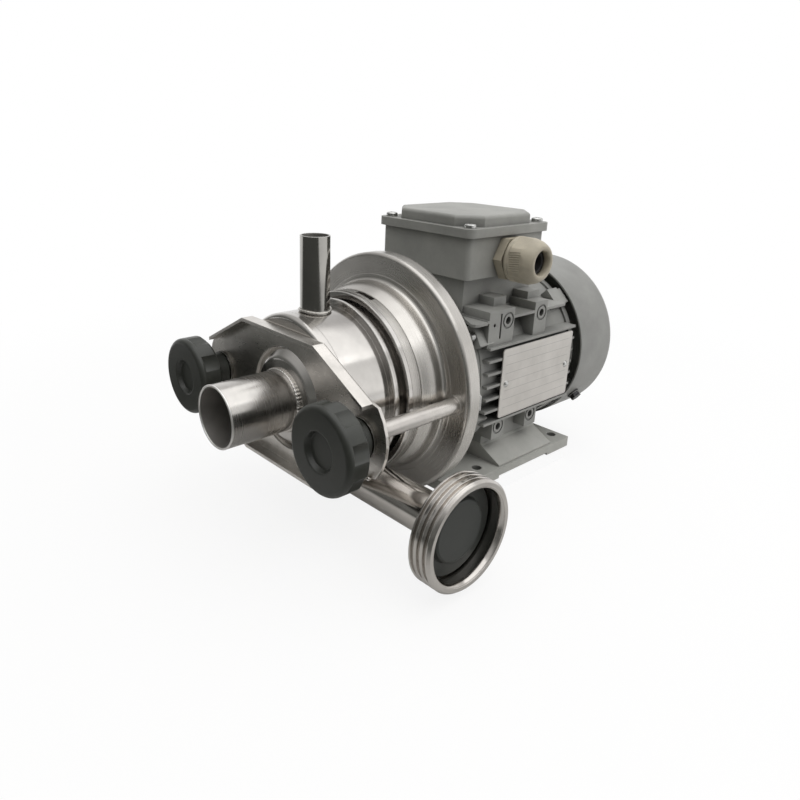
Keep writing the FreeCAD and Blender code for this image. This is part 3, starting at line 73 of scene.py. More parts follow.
def linear(red, green, blue):
    """An 8-bit screen colour as linear shader values."""
    out = []
    for value in (red, green, blue):
        v = value / 255.0
        out.append(v / 12.92 if v <= 0.04045 else ((v + 0.055) / 1.055) ** 2.4)
    return (out[0], out[1], out[2], 1.0)


def shade(tone, share, lift=0):
    """A screen colour made lighter or darker, as linear shader values."""
    return linear(*[min(255, int(value * share) + lift) for value in tone])


class Network:
    """A node tree and the few steps that build it."""

    def __init__(self, tree, coordinate="Object"):
        self.tree = tree
        self.place = self.add("ShaderNodeTexCoord").outputs[coordinate]

    def add(self, kind, **settings):
        node = self.tree.nodes.new(kind)
        for key, value in settings.items():
            setattr(node, key, value)
        return node

    def feed(self, node, socket, value):
        target = node.inputs[socket]
        if isinstance(value, bpy.types.NodeSocket):
            self.tree.links.new(value, target)
        else:
            target.default_value = value

    def math(self, operation, a, b=0.0):
        node = self.add("ShaderNodeMath", operation=operation)
        self.feed(node, 0, a)
        self.feed(node, 1, b)
        return node.outputs[0]

    def span(self, value, low, high, to_low=0.0, to_high=1.0, curve="LINEAR"):
        """A step from to_low to to_high while value goes from low to high."""
        node = self.add("ShaderNodeMapRange", interpolation_type=curve)
        for socket, part in enumerate((value, low, high, to_low, to_high)):
            self.feed(node, socket, part)
        return node.outputs[0]

    def ease(self, value, low, high, to_low=0.0, to_high=1.0):
        """The same step with soft ends."""
        return self.span(value, low, high, to_low, to_high, curve="SMOOTHSTEP")

    def along(self, x, y, z):
        """The share of the place vector along one direction."""
        node = self.add("ShaderNodeVectorMath", operation="DOT_PRODUCT")
        self.feed(node, 0, self.place)
        self.feed(node, 1, (x, y, z))
        return node.outputs["Value"]

    def length(self, vector):
        node = self.add("ShaderNodeVectorMath", operation="LENGTH")
        self.feed(node, 0, vector)
        return node.outputs["Value"]

    def split(self, vector):
        """The X, Y and Z sockets of a vector."""
        node = self.add("ShaderNodeSeparateXYZ")
        self.feed(node, 0, vector)
        return node.outputs

    def join(self, x, y, z):
        node = self.add("ShaderNodeCombineXYZ")
        for socket, value in enumerate((x, y, z)):
            self.feed(node, socket, value)
        return node.outputs[0]

    def noise(self, vector, scale, detail=3.0, rough=0.5):
        node = self.add("ShaderNodeTexNoise")
        self.feed(node, "Vector", vector)
        self.feed(node, "Scale", scale)
        self.feed(node, "Detail", detail)
        self.feed(node, "Roughness", rough)
        return node.outputs[0]

    def stretch(self, x, y, z):
        """The place vector with a scale of its own on each axis."""
        node = self.add("ShaderNodeMapping")
        self.feed(node, "Vector", self.place)
        self.feed(node, "Scale", (x, y, z))
        return node.outputs[0]

    def streaks(self, x, y, z, detail=3.0, rough=0.6):
        """Noise drawn out along the axes with the smaller scale."""
        return self.noise(self.stretch(x, y, z), 1.0, detail, rough)

    def blend(self, share, a, b):
        node = self.add("ShaderNodeMix", data_type="RGBA")
        self.feed(node, 0, share)
        self.feed(node, 6, a)
        self.feed(node, 7, b)
        return node.outputs[2]

    def bump(self, height, distance, strength=1.0, normal=None):
        node = self.add("ShaderNodeBump")
        self.feed(node, "Height", height)
        self.feed(node, "Distance", distance)
        self.feed(node, "Strength", strength)
        if normal is not None:
            self.feed(node, "Normal", normal)
        return node.outputs[0]

    def rounded(self, radius):
        """The normal with edges rounded by a radius."""
        node = self.add("ShaderNodeBevel", samples=4)
        self.feed(node, "Radius", radius)
        return node.outputs[0]

    def edge(self, radius):
        """How far the rounded normal leaves the true one: 1 on sharp edges, 0 on flats."""
        dot = self.add("ShaderNodeVectorMath", operation="DOT_PRODUCT")
        self.feed(dot, 0, self.rounded(radius))
        self.feed(dot, 1, self.add("ShaderNodeNewGeometry").outputs["Normal"])
        return self.span(self.math("SUBTRACT", 1.0, dot.outputs["Value"]), 0.02, 0.25)

    def cavity(self, reach):
        """0 deep in corners and gaps, 1 on open faces."""
        node = self.add("ShaderNodeAmbientOcclusion", samples=6)
        self.feed(node, "Distance", reach)
        return self.ease(node.outputs["AO"], 0.2, 0.8)

    def shaded_in_corners(self, colour, shade_tone, reach, amount):
        """The colour darkened in corners and gaps by ambient occlusion: painted shade."""
        if not amount:
            return colour
        shade_share = self.math("MULTIPLY", self.math("SUBTRACT", 1.0, self.cavity(reach)), amount)
        return self.blend(shade_share, colour, shade_tone)

    def about(self, axis, centre):
        """Radius, angle and height of the shaded point about one of the object's own axes."""
        moved = self.add("ShaderNodeVectorMath", operation="SUBTRACT")
        self.feed(moved, 0, self.place)
        self.feed(moved, 1, centre)
        parts = self.split(moved.outputs[0])
        order = {"X": (1, 2, 0), "Y": (0, 2, 1), "Z": (0, 1, 2)}[axis]
        u, v, height = (parts[i] for i in order)
        squares = self.math("ADD", self.math("MULTIPLY", u, u), self.math("MULTIPLY", v, v))
        return self.math("SQRT", squares), self.math("ARCTAN2", v, u), height

    def shows_backdrop(self, mirrored):
        """1 where the eye sees the backdrop, straight or through glass; in metal, the mirrored share."""
        path = self.add("ShaderNodeLightPath").outputs
        straight = self.math("MAXIMUM", path["Is Camera Ray"], path["Is Transmission Ray"])
        return self.math("MAXIMUM", straight, self.math("MULTIPLY", path["Is Glossy Ray"], mirrored))


class Shader(Network):
    """One material with its main shader. Noise scales are per metre, bump depths and radii in metres."""

    def __init__(self, name):
        self.material = bpy.data.materials.new(name)
        self.material.use_nodes = True
        super().__init__(self.material.node_tree)
        self.main = self.tree.nodes["Principled BSDF"]

    def finish(self, **sockets):
        names = {
            "colour": "Base Color", "rough": "Roughness", "normal": "Normal", "metal": "Metallic",
            "specular": "Specular IOR Level",
        }
        for key, value in sockets.items():
            self.feed(self.main, names[key], value)
        return self.material


def turned_steel(name, axis, centre, polish=0.13, lines=0.5, tint=(205, 202, 198), bore=0.0):
    """Stainless steel polished on a lathe: fine rings and faint smears, and an unpolished bore."""
    ring_scale = 1500.0
    turn_scale = 0.6
    bore_rough = 0.5
    bore_step = 0.0002
    s = Shader(name)
    radius, angle, height = s.about(axis, centre)
    across = s.math("MULTIPLY", radius, ring_scale)
    along = s.math("MULTIPLY", height, ring_scale)
    turned = s.math("MULTIPLY", angle, turn_scale)
    rings = s.noise(s.join(across, along, turned), 1.0, detail=4.0, rough=0.6)
    smear = s.noise(s.place, 26.0, detail=4.0, rough=0.55)
    colour = s.blend(s.span(smear, 0.35, 0.7), linear(*tint), shade(tint, 0.86))
    ringed = s.span(rings, 0.3, 0.7, polish * 0.8, polish * 1.25)
    rough = s.math("ADD", ringed, s.span(smear, 0.4, 0.75, 0.0, 0.07))
    if bore:
        rough = s.math("MAXIMUM", rough, s.span(radius, bore, bore + bore_step, bore_rough, 0.0))
    normal = s.bump(rings, 0.00002, lines, s.rounded(0.0005))
    return s.finish(colour=colour, rough=rough, normal=normal, metal=1.0)


def sheet_steel(name, polish, tint):
    """Pressed stainless sheet: a mill grain along its length, faint waves and worn, brighter edges."""
    s = Shader(name)
    grain = s.streaks(120.0, 2600.0, 2600.0)
    wave = s.noise(s.place, 32.0, detail=2.0, rough=0.4)
    smear = s.noise(s.place, 60.0, detail=4.0, rough=0.6)
    colour = s.blend(s.span(smear, 0.4, 0.7), linear(*tint), shade(tint, 0.9))
    colour = s.blend(s.edge(0.0006), colour, linear(226, 222, 216))
    grained = s.span(grain, 0.3, 0.7, polish * 0.8, polish * 1.2)
    rough = s.math("ADD", grained, s.span(smear, 0.4, 0.75, 0.0, 0.06))
    waved = s.bump(wave, 0.0006, 0.35, s.rounded(0.0005))
    return s.finish(colour=colour, rough=rough, normal=s.bump(grain, 0.000015, 0.5, waved), metal=1.0)


def plated_steel(name, tint=(196, 196, 194), polish=0.26):
    """Plated or bright small metal with a speckled, slightly cloudy surface."""
    s = Shader(name)
    cloud = s.noise(s.place, 420.0, detail=4.0, rough=0.6)
    speck = s.noise(s.place, 2400.0, detail=2.0)
    colour = s.blend(s.span(cloud, 0.35, 0.7), linear(*tint), shade(tint, 0.78))
    colour = s.blend(s.edge(0.0003), colour, linear(228, 228, 224))
    rough = s.span(cloud, 0.3, 0.75, polish * 0.8, polish * 1.5)
    normal = s.bump(speck, 0.00002, 0.6, s.rounded(0.0002))
    return s.finish(colour=colour, rough=rough, normal=normal, metal=1.0)


def painted(name, tone, grain=1500.0, depth=0.00006, rough=0.52, wear=0.35, corner_shading=1.0):
    """Paint on die-cast aluminium: a fine orange-peel grain, uneven tone and lighter, rubbed edges."""
    dark = shade(tone, 0.93)
    s = Shader(name)
    peel = s.noise(s.place, grain, detail=3.0, rough=0.55)
    cloud = s.noise(s.place, 38.0, detail=5.0, rough=0.6)
    pits = s.noise(s.place, 620.0, detail=2.0)
    colour = s.blend(s.span(cloud, 0.3, 0.7), shade(tone, 1.05), dark)
    colour = s.blend(s.math("MULTIPLY", s.span(pits, 0.62, 0.75), 0.35), colour, dark)
    colour = s.blend(s.math("MULTIPLY", s.edge(0.0005), wear), colour, shade(tone, 1.22))
    # Painted shade: the paint darkened in corners and gaps by ambient occlusion.
    colour = s.shaded_in_corners(colour, shade(tone, 0.56), 0.012, corner_shading)
    normal = s.bump(peel, depth, 0.7, s.bump(cloud, 0.0004, 0.15, s.rounded(0.0006)))
    return s.finish(colour=colour, rough=s.span(peel, 0.3, 0.7, rough * 0.9, rough * 1.15), normal=normal)


def moulded(name, tone, grain=900.0, depth=0.00003, rough=0.42, rounding=0.0005, corner_shading=0.0):
    """Moulded plastic: a fine even grain, flow marks in the tone and soft edges."""
    s = Shader(name)
    skin = s.noise(s.place, grain)
    flow = s.streaks(40.0, 40.0, 90.0, detail=4.0)
    colour = s.blend(s.span(flow, 0.3, 0.7), shade(tone, 1.07), shade(tone, 0.92))
    colour = s.blend(s.math("MULTIPLY", s.edge(0.0004), 0.3), colour, shade(tone, 1.25, lift=6))
    # Painted shade: the plastic darkened in tight corners and gaps by ambient occlusion, where it is asked
    # for.
    colour = s.shaded_in_corners(colour, shade(tone, 0.4), 0.002, corner_shading)
    roughness = s.span(skin, 0.3, 0.7, rough * 0.88, rough * 1.15)
    normal = s.bump(skin, depth, 0.7, s.rounded(rounding))
    return s.finish(colour=colour, rough=roughness, normal=normal, specular=0.45)


def bakelite(name):
    """Black thermoset resin: glossy skin with fine scratches and a dusty film that dulls it in patches."""
    s = Shader(name)
    film = s.noise(s.place, 55.0, detail=5.0, rough=0.6)
    scratch = s.streaks(160.0, 2200.0, 900.0, detail=2.0, rough=0.5)
    colour = s.blend(s.span(film, 0.3, 0.72), linear(50, 52, 48), linear(63, 65, 60))
    colour = s.blend(s.math("MULTIPLY", s.edge(0.0006), 0.5), colour, linear(92, 92, 88))
    rough = s.math("ADD", s.span(film, 0.35, 0.7, 0.3, 0.44), s.span(scratch, 0.6, 0.8, 0.0, 0.08))
    normal = s.bump(scratch, 0.00001, 0.4, s.rounded(0.0007))
    return s.finish(colour=colour, rough=rough, normal=normal, specular=0.5)


def rubber(name, tone, rough=0.5):
    """Moulded food rubber: a dusty bloom and very fine grain."""
    s = Shader(name)
    bloom = s.noise(s.place, 90.0, detail=5.0, rough=0.62)
    grain = s.noise(s.place, 2600.0, detail=2.0)
    colour = s.blend(s.span(bloom, 0.35, 0.75), linear(*tone), shade(tone, 1.0, lift=14))
    roughness = s.span(bloom, 0.3, 0.7, rough, rough + 0.16)
    return s.finish(colour=colour, rough=roughness, normal=s.bump(grain, 0.00003, 0.6, s.rounded(0.0006)))


def rating_foil(name):
    """Bare aluminium foil of a rating plate: satin face with faint ruled rows and no lettering."""
    row_pitch = 0.0062
    front, rear = -0.0285, 0.0465
    ramp = 0.0002
    s = Shader(name)
    _, y, z = s.split(s.place)
    row = s.math("FRACT", s.math("MULTIPLY", z, 1.0 / row_pitch))
    rule = s.span(s.math("ABSOLUTE", s.math("SUBTRACT", row, 0.5)), 0.468, 0.49)
    inside = s.math("MULTIPLY", s.span(y, front, front + ramp), s.span(y, rear - ramp, rear, 1.0, 0.0))
    grain = s.streaks(400.0, 60.0, 3200.0)
    cloud = s.noise(s.place, 70.0, detail=4.0, rough=0.6)
    colour = s.blend(s.span(cloud, 0.35, 0.7), linear(216, 212, 207), linear(204, 200, 195))
    ruled = s.math("MULTIPLY", s.math("MULTIPLY", rule, inside), 0.55)
    colour = s.blend(ruled, colour, linear(120, 120, 118))
    rough = s.span(grain, 0.3, 0.7, 0.36, 0.5)
    return s.finish(colour=colour, rough=rough, normal=s.bump(grain, 0.00001, 0.5), metal=0.35)


def laminated(name):
    """Stacked electrical steel: a line for each sheet of the stack."""
    sheet = 0.0005
    s = Shader(name)
    _, y, _ = s.split(s.place)
    layer = s.math("PINGPONG", s.math("MULTIPLY", y, 1.0 / sheet), 1.0)
    cloud = s.noise(s.place, 60.0, detail=4.0, rough=0.6)
    colour = s.blend(s.span(cloud, 0.3, 0.7), linear(120, 120, 122), linear(92, 94, 98))
    rough = s.span(cloud, 0.3, 0.7, 0.35, 0.5)
    return s.finish(colour=colour, rough=rough, normal=s.bump(layer, 0.0001, 0.6), metal=0.9)


def wound(name):
    """Enamelled copper wound round the shaft axis, tied and varnished."""
    wire = 0.0008
    s = Shader(name)
    radius, _, height = s.about("Y", AXIS)
    slant = s.math("ADD", radius, s.math("MULTIPLY", height, 0.7))
    strand = s.math("PINGPONG", s.math("MULTIPLY", slant, 1.0 / wire), 1.0)
    cloud = s.noise(s.place, 80.0, detail=4.0, rough=0.6)
    colour = s.blend(s.span(cloud, 0.3, 0.7), linear(176, 96, 52), linear(132, 66, 34))
    rough = s.span(cloud, 0.3, 0.7, 0.25, 0.42)
    return s.finish(colour=colour, rough=rough, normal=s.bump(strand, 0.0003, 0.8), metal=0.8)


looks = {
    "drum": turned_steel("steel_drum", "Y", AXIS, polish=0.14),
    "suction": turned_steel("steel_suction", "Y", AXIS, polish=0.22, lines=0.6, bore=0.0181),
    # The mouth's rim is tinted near white, lighter than the pipe's steel: a painted highlight along the
    # edge.
    "suction_rim": turned_steel("steel_rim_painted_highlight", "Y", AXIS, polish=0.42, lines=0.2, tint=(252, 250, 247)),
    "dish": turned_steel("steel_dish", "Y", AXIS, polish=0.27, lines=0.8, tint=(206, 203, 198)),
    # The vent's steel is tinted darker than the other steel: painted shade, standing in for the dark
    # reflections it shows.
    "vent": turned_steel(
        "steel_vent_darkened", "Z", VENT, polish=0.1, lines=0.25, tint=(176, 174, 169), bore=0.0081),
    "outlet": turned_steel("steel_outlet", "X", OUTLET, polish=0.13, tint=(212, 208, 203)),
    "bar": turned_steel("steel_bar", "Y", AXIS, polish=0.3, lines=0.3, tint=(214, 210, 205)),
    "shaft": turned_steel("steel_shaft", "Y", AXIS, polish=0.18, lines=0.8, tint=(190, 190, 190)),
    "bead": turned_steel("steel_weld", "Y", AXIS, polish=0.2, lines=0.9, tint=(238, 234, 229)),
    "bridge": sheet_steel("steel_sheet", polish=0.3, tint=(222, 218, 213)),
    "zinc": plated_steel("zinc_plate"),
    "bright": plated_steel("bright_steel", tint=(212, 212, 210), polish=0.16),
    "washer": plated_steel("washer_steel", tint=(126, 124, 118), polish=0.34),
    "dark_steel": plated_steel("blackened_steel", tint=(70, 70, 72), polish=0.36),
    "brass": plated_steel("brass", tint=(205, 170, 96), polish=0.2),
    "cast_grey": painted("paint_cast_grey", (158, 158, 154)),
    "box_grey": painted(
        "paint_box_grey", (162, 162, 158), grain=1300.0, depth=0.00005, rough=0.5, wear=0.25),
    # The feet's paint is lighter than the housing's: painted light, for the brighter light the feet catch.
    "foot_grey": painted("paint_foot_grey_lightened", (178, 178, 173), rough=0.55, wear=0.3),
    "cover_grey": painted(
        "paint_cover_grey", (150, 150, 147), grain=2200.0, depth=0.00003, rough=0.4, wear=0.2, corner_shading=0.0),
    "bakelite": bakelite("bakelite_black"),
    "nylon": moulded("nylon_beige", (186, 178, 159), rounding=0.0002, corner_shading=1.0),
    "plastic": moulded("plastic_dark", (134, 135, 130), grain=1100.0, rough=0.45),
    "board": moulded("board_brown", (96, 58, 38), grain=800.0, depth=0.00004, rough=0.5),
    "carbon": moulded("seal_carbon", (40, 40, 42), grain=1600.0, depth=0.00002, rough=0.35),
    "rubber": rubber("rubber_black", (50, 53, 50), rough=0.36),
    "gasket": rubber("rubber_gasket", (52, 52, 52)),
    "copper": wound("copper_wound"),
    "core": laminated("core_sheets"),
    "foil": rating_foil("rating_foil"),
}

worn_by = {
    "drum": ("casing_drum", "front_cover", "back_plate", "impeller"),
    "suction": ("suction_pipe",),
    "dish": ("adaptor_lantern",),
    "vent": ("vent_pipe",),
    "outlet": ("discharge_pipe", "discharge_union", "valve_guide"),
    "bar": ("stud_right", "stud_left"),
    "shaft": ("motor_shaft", "pump_shaft"),
    "bridge": ("clamp_bridge",),
    "zinc": (
        "stud_nuts", "front_shield_screws", "rear_shield_screws", "adaptor_screws", "foot_screws",
        "box_screws"),
    "bright": (
        "impeller_nut", "seal_spring", "front_bearing", "rear_bearing", "nameplate_rivets", "lid_screws"),
    "washer": ("knob_washer_right", "knob_washer_left"),
    "dark_steel": ("set_screws", "fan_clip", "fan_cover_screws"),
    "brass": ("knob_insert_right", "knob_insert_left", "terminal_studs"),
    "cast_grey": ("front_shield", "stator_housing", "rear_shield"),
    "box_grey": ("terminal_box", "box_lid"),
    "foot_grey": ("foot_right", "foot_left"),
    "cover_grey": ("fan_cover",),
    "bakelite": ("knob_right", "knob_left"),
    "nylon": ("gland_body", "gland_nut"),
    "plastic": ("cooling_fan",),
    "board": ("terminal_board",),
    "carbon": ("seal_seat", "seal_head"),
    "rubber": ("valve_disc",),
    "gasket": ("casing_ring", "cover_ring", "box_gasket", "gland_seal"),
    "copper": ("windings",),
    "core": ("stator_core", "rotor_core"),
    "foil": ("nameplate",),
}
for look, labels in worn_by.items():
    for label in labels:
        materials = nodes[label].data.materials
        materials.clear()
        materials.append(looks[look])


def add_piece(name, build, material, smooth=True):
    """One mesh piece from a bmesh builder, riding on the housing and taking a finish."""
    mesh = bpy.data.meshes.new(name)
    shape = bmesh.new()
    build(shape)
    bmesh.ops.recalc_face_normals(shape, faces=shape.faces)
    shape.to_mesh(mesh)
    shape.free()
    piece = bpy.data.objects.new(name, mesh)
    bpy.context.scene.collection.objects.link(piece)
    mesh.materials.append(material)
    if smooth:
        mesh.shade_smooth()
    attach(piece, BODY)
    return piece


def ring_strip(shape, rings, closed=True):
    """Quads between rings of points; a closed strip joins the last ring to the first."""
    rows = [[shape.verts.new(p) for p in ring] for ring in rings]
    count = len(rows)
    for i in range(count if closed else count - 1):
        near = rows[i]
        far = rows[(i + 1) % count]
        for k in range(len(near)):
            n = (k + 1) % len(near)
            shape.faces.new((near[k], near[n], far[n], far[k]))
    return rows


def on_pipe(centre, radius):
    """Places round a pipe's outside, each from its outward direction."""
    return lambda out: Vector(centre) + out * radius


def on_drum(radius, clear):
    """Places where the vent's outside meets the drum, lifted by a clearance."""
    def place(out):
        x = out.x * radius
        rise = math.sqrt(DRUM_RADIUS * DRUM_RADIUS - x * x)
        return Vector((x, VENT[1] + out.y * radius, SHAFT + rise + clear))
    return place


def weld_bead(name, axis, foot, width, height, ripples):
    """A rippled weld bead round a pipe: a ring of half-moon sections whose size rises and falls."""
    steps_per_ripple = 8
    section = 10
    ripple = 0.28
    wobble = 0.1
    wobbles = 3.0
    wobble_start = 0.7
    axis = Vector(axis)
    side = Vector((0.0, 0.0, 1.0)) if axis.z < 0.9 else Vector((0.0, 1.0, 0.0))
    u = axis.cross(side)
    v = axis.cross(u)
    steps = ripples * steps_per_ripple

    def build(shape):
        rings = []
        for i in range(steps):
            a = 2.0 * math.pi * i / steps
            out = u * math.cos(a) + v * math.sin(a)
            beat = 0.5 + 0.5 * math.cos(2.0 * math.pi * i / steps_per_ripple)
            high = height * (1.0 - ripple + ripple * beat)
            wide = width * (1.0 - wobble + wobble * math.cos(a * wobbles + wobble_start))
            base = foot(out)
            ring = []
            for k in range(section):
                t = 2.0 * math.pi * k / section
                ring.append(base + out * (high * math.cos(t)) + axis * (wide * math.sin(t)))
            rings.append(ring)
        ring_strip(shape, rings)

    add_piece(name, build, looks["bead"])


suction_root = (0.0, PUMP[1] - 0.0776, SHAFT)
union_root = (0.1138, OUTLET[1], OUTLET[2])
weld_bead("suction_weld", (0, 1, 0), on_pipe(suction_root, 0.0192), width=0.0019, height=0.0011, ripples=54)
weld_bead("vent_weld", (0, 0, 1), on_drum(0.0097, 0.0012), width=0.0007, height=0.0006, ripples=34)
weld_bead("union_weld", (1, 0, 0), on_pipe(union_root, 0.0127), width=0.0014, height=0.0009, ripples=40)


def cap_section(x):
    """Radius of the gland nut's outside at x millimetres, and how far it is six-sided there."""
    steps = (
        (48.2, 14.2, 0), (48.7, 15.2, 0), (50.6, 15.2, 0), (50.9, 14.5, 0), (51.5, 14.5, 0),
        (51.9, 15.3, 1), (60.4, 15.2, 1), (62.6, 14.6, 0.4), (64.6, 13.9, 0), (66.4, 13.0, 0),
        (67.9, 12.0, 0), (68.8, 10.9, 0), (69.0, 10.0, 0))
    for (a, ra, sa), (b, rb, sb) in zip(steps, steps[1:]):
        if x <= b:
            k = (x - a) / (b - a)
            return ra + (rb - ra) * k, sa + (sb - sa) * k
    return steps[-1][1:]


def gland_cap():
    """The gland's cap nut, in millimetres: six flats, every other one ribbed, and a round nose."""
    sides = 600
    half_flats = 14.0
    rib_front, rib_rear, rib_half = 52.2, 60.0, 6.6
    rib_pitch, rib_depth, rib_slant, rib_shape = 1.5, 0.42, 0.12, 0.7
    rib_middle = 56.0
    # Where the sections lie along X: close together along the ribs and the nose.
    outer = (
        48.2, 48.4, 48.7, 49.6, 50.6, 50.9, 51.2, 51.5, 51.7, 51.9, 52.3, 52.8, 53.0, 54.6, 56.2, 57.8,
        59.2, 59.4, 59.9, 60.4, 61.1, 61.8, 62.6, 63.6, 64.6, 65.5, 66.4, 67.2, 67.9, 68.4, 68.8, 69.0)
    # The bore, back from the mouth: where it lies along X and its radius.
    inner = (
        (68.9, 9.2), (68.6, 8.6), (68.1, 8.25), (67.0, 8.1), (64.0, 8.02), (61.0, 10.88), (48.25, 10.92))

    def outer_radius(x, a):
        radius, six = cap_section(x)
        turned = math.degrees(a + math.pi / 6.0)
        from_middle = math.radians(turned % 60.0 - 30.0)
        r = radius + (min(radius, half_flats / math.cos(from_middle)) - radius) * six
        across = half_flats * math.tan(from_middle) + (x - rib_middle) * rib_slant
        on_ribbed_flat = int(turned // 60.0) % 2 == 1
        if on_ribbed_flat and rib_front < x < rib_rear and abs(across) < rib_half:
            r -= rib_depth * abs(math.cos(math.pi * across / rib_pitch)) ** rib_shape
        return r

    def ring_at(x, radius):
        ring = []
        for i in range(sides):
            a = 2.0 * math.pi * i / sides
            r = radius(a)
            ring.append((x / MM, GLAND[1] + r * math.cos(a) / MM, GLAND[2] + r * math.sin(a) / MM))
        return ring

    def build(shape):
        rings = [ring_at(x, lambda a: outer_radius(x, a)) for x in outer]
        rings += [ring_at(x, lambda a: r) for x, r in inner]
        ring_strip(shape, rings)

    cap = add_piece("gland_cap", build, looks["nylon"])
    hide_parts("gland_nut")


gland_cap()


def lathe(name, axis, centre, profile, look, steps=240):
    """A steel ring turned about X or Y; the closed profile holds (along, radius) in millimetres."""
    def build(shape):
        rings = []
        for i in range(steps):
            a = 2.0 * math.pi * i / steps
            ring = []
            for along, radius in profile:
                u = radius * math.cos(a) / MM
                v = radius * math.sin(a) / MM
                offset = (u, along / MM, v) if axis == "Y" else (along / MM, u, v)
                ring.append([centre[n] + offset[n] for n in range(3)])
            rings.append(ring)
        ring_strip(shape, rings)

    add_piece(name, build, looks[look])


def round_section(along, radius, size, count=12):
    """A circle of the given size as a lathe profile."""
    turns = [2.0 * math.pi * k / count for k in range(count)]
    return [(along + size * math.cos(t), radius + size * math.sin(t)) for t in turns]


def half_ball(size, count=10):
    """A half circle as a lathe profile, which turns into a ball; its ends stay a hair off the axis."""
    hair = 0.02
    turns = [math.pi * k / count for k in range(count + 1)]
    return [(size * math.cos(t), max(size * math.sin(t), hair)) for t in turns]


# One soft curve over the turned steps of the dish's hub, from its front edge back to the dish's face.
fairing = (
    (-17.3, 59.6), (-17.3, 59.82), (-16.4, 60.0), (-15.2, 60.5), (-14.0, 61.0), (-12.8, 61.5),
    (-11.5, 61.98), (-10.0, 62.45), (-8.5, 62.82), (-7.0, 63.04), (-5.5, 63.12), (-4.2, 63.14),
    (-3.2, 63.2), (-2.2, 63.38), (-1.3, 63.78), (-0.6, 64.36), (-0.1, 65.1), (0.22, 66.0), (0.4, 67.0),
    (0.55, 68.4), (1.2, 68.4), (1.2, 59.6))
# The sealing cone just inside the union's mouth, with a rounded lip.
seat = (
    (129.1, 28.5), (129.1, 28.2), (128.7, 27.9), (126.6, 26.95), (126.1, 26.9), (125.7, 27.1),
    (125.5, 27.5), (125.5, 28.5))
# Two weld spots, at the ends of the bridge's lower lip.
tack_left = (-0.0364, -0.1685, SHAFT - 0.0442)
tack_right = (0.0786, -0.1675, SHAFT - 0.0212)
lathe("adaptor_fairing", "Y", PUMP, fairing, "dish", steps=360)
lathe("suction_rim", "Y", PUMP, round_section(-121.7, 18.4, 0.7), "suction_rim", steps=180)
lathe("union_seat", "X", OUTLET, seat, "outlet")
lathe("bridge_tack_left", "Y", tack_left, half_ball(1.3), "bead", steps=24)
lathe("bridge_tack_right", "Y", tack_right, half_ball(1.3), "bead", steps=24)


def foot_toe(name, side):
    """The front end of a foot plate, under the dish: corners rounded in plan and along the top."""
    inner, outer = 28.0, 67.0
    front, rear = -80.0, -52.0
    corner = 6.0
    corner_steps = 6
    # How far the outline is drawn in at each height, from the sole up.
    levels = ((0.4, 0.0), (0.0, 0.4), (0.0, 7.0), (0.2, 7.5), (0.7, 7.7))

    def outline(inset):
        points = [(inner + inset, rear), (outer - inset, rear)]
        for centre_x, start in ((outer - corner, 0.0), (inner + corner, 90.0)):
            for step in range(corner_steps + 1):
                a = math.radians(start + 90.0 / corner_steps * step)
                reach = corner - inset
                points.append((centre_x + reach * math.cos(a), front + corner - reach * math.sin(a)))
        return points

    def build(shape):
        rows = ring_strip(shape, [
            [(x * side / MM, y / MM, height / MM) for x, y in outline(inset)] for inset, height in levels
        ], closed=False)
        shape.faces.new(rows[0])
        shape.faces.new(rows[-1])

    add_piece(name, build, looks["foot_grey"], smooth=False)


foot_toe("foot_toe_right", 1.0)
foot_toe("foot_toe_left", -1.0)


def camera():
    """The photograph's viewpoint: solved from the object's own edges."""
    eye = Vector((0.31976, -0.38871, 0.22605))
    roll = math.radians(1.99)
    back = (eye - Vector(PUMP)).normalized()
    right = Vector((0.0, 0.0, 1.0)).cross(back).normalized()
    up = back.cross(right)
    across = right * math.cos(roll) + up * math.sin(roll)
    upward = up * math.cos(roll) - right * math.sin(roll)
    data = bpy.data.cameras.new("camera")
    data.sensor_width = 36.0
    data.lens = 30.72
    data.shift_x = 0.0306
    data.shift_y = -0.0326
    data.clip_start = 0.01
    view = bpy.data.objects.new("camera", data)
    bpy.context.scene.collection.objects.link(view)
    placed = Matrix((across, upward, back)).transposed().to_4x4()
    placed.translation = eye
    view.matrix_world = placed
    bpy.context.scene.camera = view


# The room's directions, seen from the object: where the backdrop lies, and the lit right-hand rear.
BEHIND = (-0.733, 0.68, 0.0)
RIGHT_REAR = (0.5, 0.866, 0.0)
WALL = (0.152, 0.154, 0.147, 1.0)
REAR_WALL = (0.92, 0.915, 0.905, 1.0)
CEILING = (0.66, 0.657, 0.65, 1.0)
DARK_TABLE = (0.115, 0.117, 0.111, 1.0)
LIT_TABLE = (0.62, 0.615, 0.605, 1.0)
NEAR_LIT_TABLE = (0.72, 0.715, 0.705, 1.0)


def world():
    """A dim room with a bright rear wall and a pale ceiling; the backdrop behind the object is white."""
    made = bpy.data.worlds.new("studio")
    made.use_nodes = True
    bpy.context.scene.world = made
    n = Network(made.node_tree, "Generated")
    height = n.along(0.0, 0.0, 1.0)
    rear = n.math("MULTIPLY", n.ease(n.along(0.0, 1.0, 0.0), -0.1, 0.6), n.ease(height, -0.35, 0.05))
    room = n.blend(n.ease(height, 0.2, 0.8), n.blend(rear, WALL, REAR_WALL), CEILING)
    backdrop = n.math("MULTIPLY", n.ease(n.along(*BEHIND), 0.35, 0.85), n.ease(height, 0.75, 0.35))
    n.feed(n.tree.nodes["Background"], "Color", n.blend(n.shows_backdrop(backdrop), room, WHITE))


def soft_lamp(name, place, size, power):
    """A rectangular lamp aimed at the middle of the object."""
    aim = Vector((0.0, 0.0, 0.06))
    data = bpy.data.lights.new(name, "AREA")
    data.shape = "RECTANGLE"
    data.size, data.size_y = size
    data.energy = power
    lamp = bpy.data.objects.new(name, data)
    bpy.context.scene.collection.objects.link(lamp)
    lamp.location = place
    lamp.rotation_euler = (aim - Vector(place)).to_track_quat("-Z", "Y").to_euler()


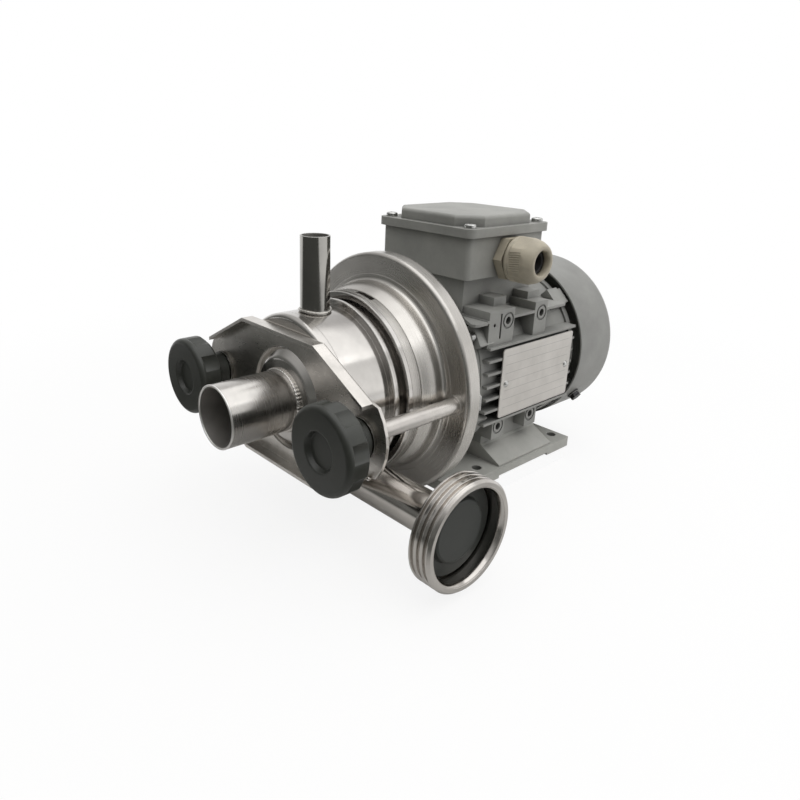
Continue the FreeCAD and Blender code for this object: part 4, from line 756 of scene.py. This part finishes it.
def pale_stage_material():
    """White to the eye, and to metal where it is backdrop; to metal also towards the right rear, a painted
    reflection. To the light, a table painted with light and shade: bright near the object and on the lit
    right-hand side, dark beyond.
    """
    material = bpy.data.materials.new("stage_pale")
    material.use_nodes = True
    n = Network(material.node_tree)
    n.tree.nodes.remove(n.tree.nodes["Principled BSDF"])
    distance = n.length(n.place)
    rightward = n.along(*RIGHT_REAR)
    # Painted reflection: towards the right rear the floor glows white to metal.
    right_rear = n.ease(rightward, 0.18, 0.32, 0.0, 0.7)
    seen = n.shows_backdrop(n.math("MAXIMUM", n.ease(n.along(*BEHIND), 0.0, 0.3), right_rear))
    lit_side = n.ease(n.math("DIVIDE", rightward, distance), 0.5, 0.95)
    near = n.ease(n.length(n.stretch(1.4, 1.0, 1.0)), 0.22, 0.42)
    # Painted light and shade on the table: bright near the object and on the lit side, dark further off.
    table = n.blend(near, NEAR_LIT_TABLE, n.blend(lit_side, DARK_TABLE, LIT_TABLE))
    matt = n.add("ShaderNodeBsdfDiffuse")
    n.feed(matt, "Color", n.blend(seen, table, WHITE))
    glow = n.add("ShaderNodeEmission")
    mix = n.add("ShaderNodeMixShader")
    n.feed(mix, 0, n.math("MULTIPLY", seen, n.ease(distance, 0.3, 0.6, 0.86, 1.0)))
    n.feed(mix, 1, matt.outputs[0])
    n.feed(mix, 2, glow.outputs[0])
    n.feed(n.tree.nodes["Material Output"], "Surface", mix.outputs[0])
    return material


def stage_block(name, low, high, material):
    """One box of the stage between two corners."""
    shape = bmesh.new()
    bmesh.ops.create_cube(shape, size=1.0)
    for point in shape.verts:
        point.co = Vector([(low[i] + high[i]) / 2 + point.co[i] * (high[i] - low[i]) for i in range(3)])
    mesh = bpy.data.meshes.new(name)
    shape.to_mesh(mesh)
    shape.free()
    mesh.materials.append(material)
    block = bpy.data.objects.new(name, mesh)
    bpy.context.scene.collection.objects.link(block)


def pale_floor():
    """The floor, and a block on it that carries the motor's feet, because the dish reaches below them."""
    half = 1.6
    thick = 0.01
    foot_gap = 0.0001
    material = pale_stage_material()
    stage_block("floor", (-half, -half, FLOOR - thick), (half, half, FLOOR), material)
    stage_block("plinth", (-0.0655, -0.0785, FLOOR), (0.0655, 0.0505, -foot_gap), material)


camera()
world()
pale_floor()
soft_lamp("top", (0.2, 0.05, 1.15), size=(1.6, 1.6), power=7.3)
soft_lamp("right", (0.95, 0.15, 0.6), size=(1.3, 1.1), power=1.1)
bpy.context.scene.view_settings.view_transform = "Standard"
